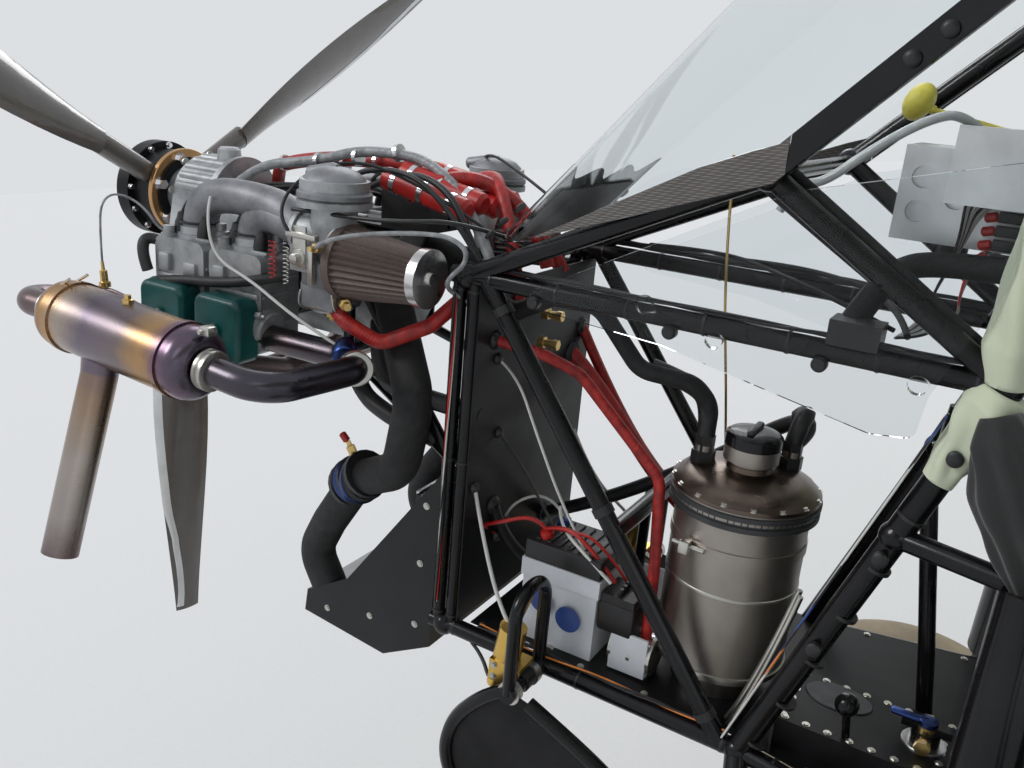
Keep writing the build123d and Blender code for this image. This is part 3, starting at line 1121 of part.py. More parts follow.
coolant_hoses.part.label = "coolant_hoses"

# Oil tank with lid, filler and hose fittings
TANK_LID = 14.0
TANK_NECK = 75.0
FITTINGS = ((64, 328), (2, 432))
with BuildPart() as oil_tank:
    add([tube((TANK_X, TANK_Y, FLOOR_TOP_Z), (TANK_X, TANK_Y, FLOOR_TOP_Z + TANK_STAND), 0.7 * TANK),
         tube((TANK_X, TANK_Y, FLOOR_TOP_Z + TANK_STAND), (TANK_X, TANK_Y, TANK_TOP_Z), TANK),
         tube((TANK_X, TANK_Y, TANK_TOP_Z), (TANK_X, TANK_Y, TANK_TOP_Z + TANK_LID), TANK + 16),
         tube((TANK_X, TANK_Y, TANK_TOP_Z), (TANK_X, TANK_Y, TANK_TOP_Z + TANK_NECK - 20), 58),
         tube((TANK_X, TANK_Y, TANK_TOP_Z + TANK_NECK - 20), (TANK_X, TANK_Y, TANK_TOP_Z + TANK_NECK), 74),
         tube((TANK_X, TANK_Y, TANK_TOP_Z - 60), (TANK_X, TANK_Y, TANK_TOP_Z - 46), TANK + 4)])
    add([tube((x, y, TANK_TOP_Z), (x, y, TANK_TOP_Z + 60), 26) for x, y in FITTINGS])
    add(FRAMES + [coolant_hoses.part], mode=Mode.SUBTRACT)
oil_tank.part.label = "oil_tank"

# Battery with its lid and two posts
BATTERY = ((55, 150), (115, 235))
BATTERY_HEIGHT = 130.0
BATTERY_LID = 28.0
BATTERY_TOP_Z = FLOOR_TOP_Z + BATTERY_HEIGHT
with BuildPart() as battery:
    add(block(*BATTERY, (FLOOR_TOP_Z, BATTERY_TOP_Z)))
    add(block((BATTERY[0][0] - 3, BATTERY[0][1] + 3), (BATTERY[1][0] - 3, BATTERY[1][1] + 3),
              (BATTERY_TOP_Z - BATTERY_LID, BATTERY_TOP_Z)))
    add([tube((x, BATTERY[1][0] + 22, BATTERY_TOP_Z - 1), (x, BATTERY[1][0] + 22, BATTERY_TOP_Z + 12), 16)
         for x in (BATTERY[0][0] + 20, BATTERY[0][1] - 20)])
    add(FRAMES + [cross_tubes.part], mode=Mode.SUBTRACT)
battery.part.label = "battery"

PUMP = 58.0
PUMP_X = 120.0
PUMP_SPAN = (262.0, 320.0)
PUMP_Z = FLOOR_TOP_Z + PUMP / 2 + 1
with BuildPart() as fuel_pump:
    add(tube((PUMP_X, PUMP_SPAN[0], PUMP_Z), (PUMP_X, PUMP_SPAN[1], PUMP_Z), PUMP))
    add(block((PUMP_X - 20, PUMP_X + 20), PUMP_SPAN, (FLOOR_TOP_Z, FLOOR_TOP_Z + 12)))
    add(FRAMES + [oil_tank.part], mode=Mode.SUBTRACT)
fuel_pump.part.label = "fuel_pump"

# Electric boxes: two ignition modules over the engine, a relay on the pump and a junction box on the longeron
CASE_TOP_Z = CRANK_Z + CASE_HEIGHT / 2
MODULES = ((-58, -4), (4, 58))
MODULE_TOP_Z = 152.0
MODULE_SPAN = (-245.0, -155.0)
BRACKET_PLATE = 3.0
PUMP_TOP_Z = PUMP_Z + PUMP / 2
LONGERON_TOP_Z = DECK_Z + FRAME_TUBE / 2
with BuildPart() as electric_boxes:
    add(block((-62, 62), (CASE_REAR_Y - 40, MODULE_SPAN[1]), (CASE_TOP_Z, CASE_TOP_Z + BRACKET_PLATE)))
    add([block(span, MODULE_SPAN, (CASE_TOP_Z + BRACKET_PLATE, MODULE_TOP_Z)) for span in MODULES])
    add(block((PUMP_X - 28, PUMP_X + 28), (240, 290), (PUMP_TOP_Z + SEAT, PUMP_TOP_Z + 56)))
    add(block((NOSE_HALF - 27, NOSE_HALF + 13), (482, 538), (LONGERON_TOP_Z - 3, LONGERON_TOP_Z + 26)))
    add(FRAMES + [battery.part, crankcase.part, coolant_hoses.part], mode=Mode.SUBTRACT)
electric_boxes.part.label = "electric_boxes"

# Red fuel hoses: from the carburettors to the firewall, and from the firewall to the pump
FUEL_HOSE = 22.0
FUEL_LINE = 16.0
CARB_FUEL_ROUTE = (
    (228, -196, FILTER_Z - 60), (236, -165, -22), (212, -118, -50), (176, -58, -18), (146, -26, 24),
    (138, FIREWALL_Y, 30))
PUMP_FUEL_ROUTE = (
    (130, FIREWALL_BACK_Y, -30), (120, 100, -38), (104, 150, -58), (100, 285, -180), (132, 306, -300),
    (PUMP_X + 4, PUMP_SPAN[1] - 14, PUMP_Z))
with BuildPart() as red_hoses:
    add(both_sides(hose(CARB_FUEL_ROUTE, FUEL_HOSE, 30).solids()))
    add(hose(PUMP_FUEL_ROUTE, FUEL_LINE, 40))
    add([carburettors.part, air_filters.part, engine_mount.part, coolant_hoses.part, fuel_pump.part,
         electric_boxes.part, cross_tubes.part, exhaust_pipes.part, firewall.part, *FRAMES],
        mode=Mode.SUBTRACT)
red_hoses.part.label = "red_hoses"

# Pedals on their cross tube, the two sticks, and the ball lever and valve on the console
PEDAL_X = 225.0
PEDAL_HALF = 42.0
PEDAL_HEIGHT = 150.0
PEDAL_BAR = 19.0
PEDAL_LOOP = tuple((PEDAL_X + x, PEDAL_TUBE_Y, FLOOR_Z + z)
                   for x, z in ((-PEDAL_HALF, 0), (-PEDAL_HALF, PEDAL_HEIGHT), (PEDAL_HALF, PEDAL_HEIGHT), (PEDAL_HALF, 0)))
STICK_SHAPE = ((0, 0), (-20, 120), (-60, 330), (-50, 450))
STICK = 22.0
STICK_STATIONS = (SILL_Y - 330, SILL_Y + 375)
LEVER_FOOT = (145, 590, CONSOLE_TOP_Z)
LEVER_HEAD = (152, 584, CONSOLE_TOP_Z + 50)
VALVE = (95, 676, CONSOLE_TOP_Z)
with BuildPart() as controls:
    add(both_sides(hose(PEDAL_LOOP, PEDAL_BAR, 38).solids()))
    add([hose([(0, y + run, PANEL_Z + SHEET + rise) for run, rise in STICK_SHAPE], STICK, 60)
         for y in STICK_STATIONS])
    add([tube(LEVER_FOOT, LEVER_HEAD, 10), ball(LEVER_HEAD, 30)])
    add([tube(VALVE, (VALVE[0], VALVE[1], VALVE[2] + 22), 36),
         block((VALVE[0] - 8, VALVE[0] + 8), (VALVE[1] - 30, VALVE[1] + 30), (VALVE[2] + 20, VALVE[2] + 30))])
    add(FRAMES + [cross_tubes.part, floor_panels.part], mode=Mode.SUBTRACT)
controls.part.label = "controls"

# Brake master cylinders in front of the pedal tube
BRAKE = 40.0
BRAKE_TOP = (PEDAL_X - 5, PEDAL_TUBE_Y - 26, FLOOR_Z + 72)
BRAKE_FOOT = (PEDAL_X - 5, PEDAL_TUBE_Y - 40, FLOOR_Z - 26)
BRAKE_PUSHROD = 12.0
with BuildPart() as brake_cylinders:
    add(both_sides([
        tube(BRAKE_FOOT, BRAKE_TOP, BRAKE),
        block((PEDAL_X - 5 - BRAKE / 2, PEDAL_X - 5 + BRAKE / 2), (PEDAL_TUBE_Y - 50, PEDAL_TUBE_Y),
              (FLOOR_Z - 12, FLOOR_Z + 22)),
        tube(BRAKE_TOP, (PEDAL_X - 5, PEDAL_TUBE_Y, FLOOR_Z + PEDAL_HEIGHT), BRAKE_PUSHROD)]))
    add(FRAMES + [cross_tubes.part, controls.part], mode=Mode.SUBTRACT)
brake_cylinders.part.label = "brake_cylinders"

# Two seats in tandem: tube frames with separate seat and back pads
SEAT_STATIONS = (740.0, 1430.0)
SEAT_HALF = 215.0
SEAT_TUBE = 22.0
SEAT_PAN_Z = -330.0
SEAT_RISE = 30.0
SEAT_DEPTH = 420.0
SEAT_BACK = 560.0
SEAT_LEAN = tan(radians(16.0)) * SEAT_BACK
CUSHION = 70.0
PAD_CORNER = 40.0
PAD_HALF = SEAT_HALF + 5
seat_points = [
    (Vector(0, y, SEAT_PAN_Z + SEAT_RISE), Vector(0, y + SEAT_DEPTH, SEAT_PAN_Z),
     Vector(0, y + SEAT_DEPTH + SEAT_LEAN, SEAT_PAN_Z + SEAT_BACK)) for y in SEAT_STATIONS]
with BuildPart() as seat_frames:
    for front, rear, top in seat_points:
        side_x = Vector(SEAT_HALF, 0, 0)
        add(both_sides([
            tube(front + side_x, rear + side_x, SEAT_TUBE), tube(rear + side_x, top + side_x, SEAT_TUBE),
            tube(front + side_x, (SEAT_HALF, front.Y, FLOOR_TOP_Z), SEAT_TUBE),
            tube(rear + side_x, (SEAT_HALF, rear.Y, FLOOR_TOP_Z), SEAT_TUBE)]))
        add([tube(place - side_x, place + side_x, SEAT_TUBE) for place in (front, rear, top)])
    add(FRAMES + [cross_tubes.part, floor_panels.part], mode=Mode.SUBTRACT)
seat_frames.part.label = "seat_frames"

with BuildPart() as seat_pads:
    for front, rear, top in seat_points:
        # pad's start and end along its run
        for low, high, first, last in ((front, rear, -10, SEAT_DEPTH - 92), (rear, top, 20, SEAT_BACK + 25)):
            run = high - low
            pad_plane = Plane(origin=low, x_dir=(1, 0, 0), z_dir=Vector(1, 0, 0).cross(run))
            with BuildSketch(pad_plane.offset(SEAT_TUBE / 2 + SEAT)):
                with Locations((0, (first + last) / 2)):
                    RectangleRounded(2 * PAD_HALF, last - first, PAD_CORNER)
            extrude(amount=CUSHION)
    add(FRAMES + [seat_frames.part, cross_tubes.part], mode=Mode.SUBTRACT)
seat_pads.part.label = "seat_pads"

pieces = [
    side_frame_left, side_frame_right, cross_tubes, engine_mount, firewall, floor_panels, instrument_panel,
    avionics_boxes, electric_boxes, seat_frames, seat_pads, controls, brake_cylinders, battery, fuel_pump, oil_tank,
    windscreen, side_windows, roof_panel, aft_fuselage, wing_left, wing_right, *wing_surfaces, lift_struts,
    stabilizer, elevator, fin, rudder, tail_stays, gear_legs, shock_struts, *wheels, tail_spring, tailwheel_fork,
    tailwheel, propeller_hub, propeller_blades, crankcase, cylinders, cylinder_heads, rocker_covers,
    intake_manifolds, carburettors, air_filters, filter_caps, exhaust_pipes, muffler, coolant_hoses, red_hoses,
    radiator, air_scoop]

# Stand the aircraft on its wheels, with the middle of its length over the origin
standing = Location((0, 0, 0), (-NOSE_UP, 0, 0))
spans = [piece.part.moved(standing).bounding_box(optimal=True) for piece in pieces]
middle_y = (min(span.min.Y for span in spans) + max(span.max.Y for span in spans)) / 2
ground_z = min(span.min.Z for span in spans)
stand = Location((0, -middle_y, -ground_z)) * standing
print("stand", -middle_y, -ground_z)
for piece in pieces:
    placed = piece.part.moved(stand)
    placed.label = piece.part.label
    export_step(placed, f"parts/{piece.part.label}.step")
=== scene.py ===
"""Looks of a light tandem aircraft with an open tube frame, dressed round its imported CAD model."""

import logging
from dataclasses import dataclass
from enum import Enum
from functools import cache
from math import cos, pi, radians, sin
from typing import Iterable, Sequence

import bmesh
import bpy
from mathutils import Matrix, Vector
from mathutils.bvhtree import BVHTree


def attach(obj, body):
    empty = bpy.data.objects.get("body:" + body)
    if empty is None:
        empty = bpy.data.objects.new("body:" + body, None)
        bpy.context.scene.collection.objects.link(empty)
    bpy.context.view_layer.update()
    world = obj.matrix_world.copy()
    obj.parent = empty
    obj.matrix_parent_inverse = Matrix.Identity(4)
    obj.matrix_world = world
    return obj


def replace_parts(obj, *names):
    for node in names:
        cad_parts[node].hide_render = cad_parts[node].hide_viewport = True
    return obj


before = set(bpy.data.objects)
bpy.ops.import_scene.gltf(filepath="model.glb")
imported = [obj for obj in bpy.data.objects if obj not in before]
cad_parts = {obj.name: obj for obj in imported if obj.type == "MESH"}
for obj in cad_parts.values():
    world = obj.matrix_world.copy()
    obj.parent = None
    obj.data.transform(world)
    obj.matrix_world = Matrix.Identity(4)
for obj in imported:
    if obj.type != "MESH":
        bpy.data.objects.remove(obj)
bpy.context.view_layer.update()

logging.basicConfig(level=logging.INFO, format="%(message)s")
LOG = logging.getLogger("aircraft")

Point = tuple[float, float, float]
Colour = tuple[float, float, float]
Profile = Sequence[tuple[float, float]]
Link = tuple[bpy.types.Node, str]
Piece = bpy.types.Object
Mesh = bmesh.types.BMesh


@dataclass(frozen=True)
class Stance:
    """How the level drawing stands on its wheels: nose up, then moved aft and up."""

    nose_up: float = radians(8.0)
    aft: float = -2.081308
    up: float = 1.472663

    def turn(self, x: float, y: float, z: float) -> Vector:
        """Turn a direction of the level drawing into the standing frame."""
        c, s = cos(self.nose_up), sin(self.nose_up)
        return Vector((x, y * c + z * s, z * c - y * s))

    def place(self, x: float, y: float, z: float) -> Vector:
        """Place a point of the level drawing, in millimetres, in the standing frame in metres."""
        return self.turn(x / 1000, y / 1000, z / 1000) + Vector((0.0, self.aft, self.up))


STANCE = Stance()


def level(point: Point) -> Vector:
    """Place a point of the level drawing, in millimetres, in the standing frame."""
    return STANCE.place(*point)


def between(start: Point, end: Point, share: float) -> Point:
    """Point of the level drawing a share of the way from start to end."""
    return tuple(a + (b - a) * share for a, b in zip(start, end))


def on_side(side: int, *points: Point) -> list[Point]:
    """Points given for the port side, set on the side that the sign names."""
    return [(side * x, y, z) for x, y, z in points]


SIDES = (1, -1)


class Side(Enum):
    """The two sides of the aircraft, by the sign of x."""

    PORT = 1
    STARBOARD = -1


# Node trees and finishes


def feed(tree: bpy.types.NodeTree, node: bpy.types.Node, name: str | int, value: object) -> None:
    """Fill a node's socket.

    Args:
        tree: the node's tree.
        node: the node.
        name: the socket's name or number.
        value: a value, or a (node, socket name) pair to link.
    """
    if isinstance(value, tuple) and isinstance(value[0], bpy.types.Node):
        tree.links.new(value[0].outputs[value[1]], node.inputs[name])
    else:
        node.inputs[name].default_value = value


def add_node(tree: bpy.types.NodeTree, kind: str, inputs: dict | None = None,
             **settings: object) -> bpy.types.Node:
    """Add a node to a tree.

    Args:
        tree: the tree.
        kind: Blender's type name of the node.
        inputs: socket names with a value or a (node, socket name) pair each.
        settings: properties of the node itself.

    Returns:
        The new node.
    """
    node = tree.nodes.new(kind)
    for name, value in settings.items():
        setattr(node, name, value)
    for name, value in (inputs or {}).items():
        feed(tree, node, name, value)
    return node


class Shader:
    """Builder of one material's node tree round its Principled shader."""

    def __init__(self, name: str) -> None:
        """Start an empty material.

        Args:
            name: its name.
        """
        self.material = bpy.data.materials.new(name)
        self.material.use_nodes = True
        self.tree = self.material.node_tree
        self.surface = self.tree.nodes["Principled BSDF"]

    def add(self, kind: str, inputs: dict | None = None, **settings: object) -> bpy.types.Node:
        """Add a node to the material's tree."""
        return add_node(self.tree, kind, inputs, **settings)

    def set(self, **values: object) -> None:
        """Set the Principled shader's sockets, with underscores for spaces."""
        for name, value in values.items():
            feed(self.tree, self.surface, name.replace("_", " "), value)

    def place(self, scale: Point = (1, 1, 1), turn: Point = (0, 0, 0)) -> Link:
        """Object coordinates through a Mapping node, as a link.

        Args:
            scale: scale of the coordinates along each axis.
            turn: turn of the coordinates, in radians.

        Returns:
            The link.
        """
        source = self.add("ShaderNodeTexCoord")
        return self.add("ShaderNodeMapping", {
            "Vector": (source, "Object"), "Scale": scale, "Rotation": turn}), "Vector"

    def noise(self, scale: float, detail: float = 3.0, vector: Link | None = None,
              roughness: float = 0.5) -> Link:
        """Noise on object coordinates, as a link to its factor."""
        inputs = {"Vector": vector or self.place(), "Scale": scale, "Detail": detail, "Roughness": roughness}
        return self.add("ShaderNodeTexNoise", inputs), "Fac"

    def wave(self, scale: float, vector: Link | None = None, axis: str = "X") -> Link:
        """Bands across one axis, as a link to their factor."""
        inputs = {"Vector": vector or self.place(), "Scale": scale}
        return self.add("ShaderNodeTexWave", inputs, bands_direction=axis), "Fac"

    def maths(self, operation: str, first: object, second: object = 0.0) -> Link:
        """One arithmetic step, as a link to its value."""
        return self.add("ShaderNodeMath", {0: first, 1: second}, operation=operation), "Value"

    def ramp(self, factor: Link, stops: Sequence[tuple[float, Colour]]) -> Link:
        """Spread colours over a factor.

        Args:
            factor: link to a value from 0 to 1.
            stops: place and colour of each stop.

        Returns:
            Link to the colour.
        """
        node = self.add("ShaderNodeValToRGB", {"Fac": factor})
        ramp = node.color_ramp
        while len(ramp.elements) < len(stops):
            ramp.elements.new(0.5)
        for element, (place, colour) in zip(ramp.elements, stops):
            element.position = place
            element.color = (*colour, 1.0)
        return node, "Color"

    def bump(self, height: Link, distance: float, strength: float = 1.0) -> Link:
        """Bump from a height, as a link to its normal."""
        return self.add("ShaderNodeBump", {
            "Height": height, "Distance": distance, "Strength": strength}), "Normal"

    def spread(self, factor: Link, low: float, high: float) -> Link:
        """Factor from 0 to 1 spread between two values, as a link."""
        return self.add("ShaderNodeMapRange", {"Value": factor, "To Min": low, "To Max": high}), "Result"

    def along(self, start: Vector, end: Vector) -> Link:
        """Measure how far along a line each point lies.

        Args:
            start: where the share is 0.
            end: where it is 1.

        Returns:
            Link to the share.
        """
        run = end - start
        source = self.add("ShaderNodeTexCoord")
        offset = self.add(
            "ShaderNodeVectorMath", {0: (source, "Object"), 1: tuple(start)}, operation="SUBTRACT")
        scale = tuple(run / run.length_squared)
        return self.add(
            "ShaderNodeVectorMath", {0: (offset, "Vector"), 1: scale}, operation="DOT_PRODUCT"), "Value"


@dataclass(frozen=True)
class Finish:
    """A finish with its name, its main colour and its roughness."""

    name: str
    colour: Colour
    roughness: float = 0.4
    vary: float = 0.2

    def build(self) -> bpy.types.Material:
        """Make the finish's material.

        Returns:
            The material.
        """
        shader = Shader(self.name)
        self.dress(shader)
        return shader.material

    def shade(self, factor: float) -> Colour:
        """Main colour made darker or paler."""
        return tuple(min(1.0, channel * factor) for channel in self.colour)

    def tinted(self, shader: Shader, scale: float, spread: float) -> Link:
        """Vary the main colour by noise."""
        pale = tuple(min(1.0, channel * (1 + spread) + 0.01 * spread) for channel in self.colour)
        return shader.ramp(shader.noise(scale, 4.0), ((0.3, self.shade(1 - spread)), (0.7, pale)))

    def dress(self, shader: Shader) -> None:
        """Fill the shader with plain moulded or painted looks.

        Args:
            shader: the shader to fill.
        """
        grain = shader.noise(380, 3.0)
        shader.set(
            Base_Color=self.tinted(shader, 40, self.vary), Normal=shader.bump(grain, 0.00006),
            Roughness=shader.spread(shader.noise(18, 5.0), self.roughness - 0.05, self.roughness + 0.1))


@dataclass(frozen=True)
class PowderCoat(Finish):
    """Baked powder coat with a faint orange peel and dust."""

    peel: float = 0.00012
    coat: float = 0.25
    gloss: float = 0.3
    clear: float = 0.16

    def dress(self, shader: Shader) -> None:
        """Fill the shader.

        Args:
            shader: the shader to fill.
        """
        peel = shader.noise(420, 2.0)
        shader.set(
            Base_Color=self.tinted(shader, 14, 0.35), Coat_Weight=self.coat, Coat_Roughness=self.clear,
            Specular_IOR_Level=self.gloss,
            Roughness=shader.spread(shader.noise(22, 5.0), self.roughness - 0.08, self.roughness + 0.12),
            Normal=shader.bump(peel, self.peel))


@dataclass(frozen=True)
class Metal(Finish):
    """Bare metal with brushing along one axis and smudges."""

    grain: Point = (30.0, 30.0, 900.0)
    scratch: float = 0.00006

    def dress(self, shader: Shader) -> None:
        """Fill the shader.

        Args:
            shader: the shader to fill.
        """
        grain = shader.noise(1.0, 3.0, shader.place(self.grain))
        shader.set(
            Base_Color=self.tinted(shader, 18, 0.12), Metallic=1.0,
            Roughness=shader.spread(shader.noise(26, 5.0), self.roughness - 0.07, self.roughness + 0.1),
            Normal=shader.bump(grain, self.scratch, 0.6))


@dataclass(frozen=True)
class CastAlloy(Finish):
    """Blasted casting: matt metal with a fine grain, stains and dark pits."""

    def dress(self, shader: Shader) -> None:
        """Fill the shader.

        Args:
            shader: the shader to fill.
        """
        grain = shader.noise(650, 3.0)
        stain = shader.ramp(shader.noise(16, 6.0, roughness=0.7), (
            (0.3, self.shade(0.55)), (0.55, self.colour), (0.8, self.shade(1.18))))
        shader.set(Base_Color=stain, Metallic=0.75, Roughness=shader.spread(shader.noise(30), 0.42, 0.62),
                   Normal=shader.bump(grain, 0.00025))


@dataclass(frozen=True)
class HeatedSteel(Finish):
    """Stainless steel tinted by heat in bands along a run."""

    start: Point = (0.0, 0.0, 0.0)
    end: Point = (0.0, 1.0, 0.0)
    bands: tuple[tuple[float, Colour], ...] = ()
    branch: Point | None = None
    outlet: Point | None = None

    def dress(self, shader: Shader) -> None:
        """Fill the shader.

        Args:
            shader: the shader to fill.
        """
        run = shader.along(level(self.start), level(self.end))
        cloud = shader.spread(shader.noise(9, 5.0, roughness=0.65), -0.16, 0.16)
        tint = shader.ramp(shader.maths("ADD", run, cloud), self.bands)
        if self.branch:
            fall = shader.along(level(self.branch), level(self.outlet))
            pipe = shader.ramp(shader.maths("ADD", fall, cloud), (
                (0.0, (0.14, 0.11, 0.15)), (0.22, (0.34, 0.24, 0.17)), (0.5, (0.42, 0.37, 0.33)),
                (0.8, (0.38, 0.34, 0.32)), (1.0, (0.20, 0.15, 0.15))))
            below = shader.maths("GREATER_THAN", fall, 0.1)
            tint = shader.add("ShaderNodeMix", {0: below, 6: tint, 7: pipe}, data_type="RGBA"), 2
        grain = shader.noise(1.0, 3.0, shader.place((400, 60, 400)))
        shader.set(Base_Color=tint, Metallic=1.0, Roughness=shader.spread(shader.noise(14, 6.0), 0.16, 0.4),
                   Normal=shader.bump(grain, 0.00004, 0.5))


@dataclass(frozen=True)
class CarbonWeave(Finish):
    """Lacquered carbon cloth, brown and grey in a fine twill."""

    pitch: float = 150.0
    turn: float = 0.6

    def dress(self, shader: Shader) -> None:
        """Fill the shader.

        Args:
            shader: the shader to fill.
        """
        turned_cloth = shader.place(turn=(0, self.turn, 0))
        twill = shader.maths("MULTIPLY", shader.wave(self.pitch, turned_cloth, "X"),
                             shader.wave(self.pitch, turned_cloth, "Z"))
        cloud = shader.maths("MULTIPLY", shader.noise(30, 4.0), 0.35)
        colour = shader.ramp(shader.maths("ADD", twill, cloud), (
            (0.1, self.shade(0.35)), (0.55, self.colour), (1.0, self.shade(1.7))))
        shader.set(Base_Color=colour, Roughness=self.roughness, Coat_Weight=1.0, Coat_Roughness=0.08,
                   Normal=shader.bump(twill, 0.00008, 0.5))


@dataclass(frozen=True)
class Rubber(Finish):
    """Rubber or cloth-covered hose with a small woven relief."""

    weave: float = 240.0
    relief: float = 0.0003

    def dress(self, shader: Shader) -> None:
        """Fill the shader.

        Args:
            shader: the shader to fill.
        """
        slanted = shader.place(turn=(0.6, 0.5, 0.4))
        first, second = shader.wave(self.weave, slanted, "X"), shader.wave(self.weave, slanted, "Y")
        shader.set(Base_Color=self.tinted(shader, 60, 0.4), Roughness=self.roughness,
                   Normal=shader.bump(shader.maths("MULTIPLY", first, second), self.relief))


@dataclass(frozen=True)
class Cloth(Finish):
    """Woven cloth with thread relief and sheen."""

    thread: float = 300.0
    sheen: float = 0.3

    def dress(self, shader: Shader) -> None:
        """Fill the shader.

        Args:
            shader: the shader to fill.
        """
        threads = shader.maths("ADD", shader.wave(self.thread, axis="X"), shader.wave(self.thread, axis="Y"))
        shader.set(Base_Color=self.tinted(shader, 5, 0.04), Roughness=self.roughness,
                   Sheen_Weight=self.sheen, Normal=shader.bump(threads, 0.00008, 0.5))


@dataclass(frozen=True)
class Acrylic(Finish):
    """Clear sheet plastic with a faint tint and fine wiping marks."""

    bend: float = 1.18

    def dress(self, shader: Shader) -> None:
        """Fill the shader.

        Args:
            shader: the shader to fill.
        """
        shader.set(Base_Color=(*self.colour, 1.0), Transmission_Weight=1.0, IOR=self.bend,
                   Roughness=shader.spread(shader.noise(4, 6.0), 0.0, 0.006),
                   Normal=shader.bump(shader.noise(3, 2.0), 0.0004))


@dataclass(frozen=True)
class Tread(Finish):
    """Smooth balloon tyre with dust in its pores."""

    def dress(self, shader: Shader) -> None:
        """Fill the shader.

        Args:
            shader: the shader to fill.
        """
        pores = shader.noise(300, 4.0)
        dust = shader.ramp(shader.noise(7, 7.0, roughness=0.7), (
            (0.3, self.shade(0.7)), (0.6, self.colour), (0.85, self.shade(1.25))))
        shader.set(Base_Color=dust, Roughness=0.82, Normal=shader.bump(pores, 0.0004))


@dataclass(frozen=True)
class Gauze(Finish):
    """Oiled filter gauze under a wire mesh."""

    def dress(self, shader: Shader) -> None:
        """Fill the shader.

        Args:
            shader: the shader to fill.
        """
        mesh = shader.noise(900, 2.0)
        colour = shader.ramp(mesh, ((0.35, self.shade(0.45)), (0.65, self.colour)))
        shader.set(Base_Color=colour, Roughness=0.55, Normal=shader.bump(mesh, 0.0004))


def gold_to_blue() -> tuple[tuple[float, Colour], ...]:
    """Heat colours along the muffler, from its front end to its rear end.

    Returns:
        Stops, each with a place from 0 to 1 and a colour.
    """
    return ((0.0, (0.20, 0.15, 0.17)), (0.10, (0.50, 0.30, 0.14)), (0.20, (0.44, 0.36, 0.30)),
            (0.36, (0.19, 0.16, 0.20)), (0.62, (0.22, 0.18, 0.18)), (0.78, (0.46, 0.28, 0.13)),
            (0.90, (0.20, 0.13, 0.18)), (1.0, (0.11, 0.10, 0.13)))


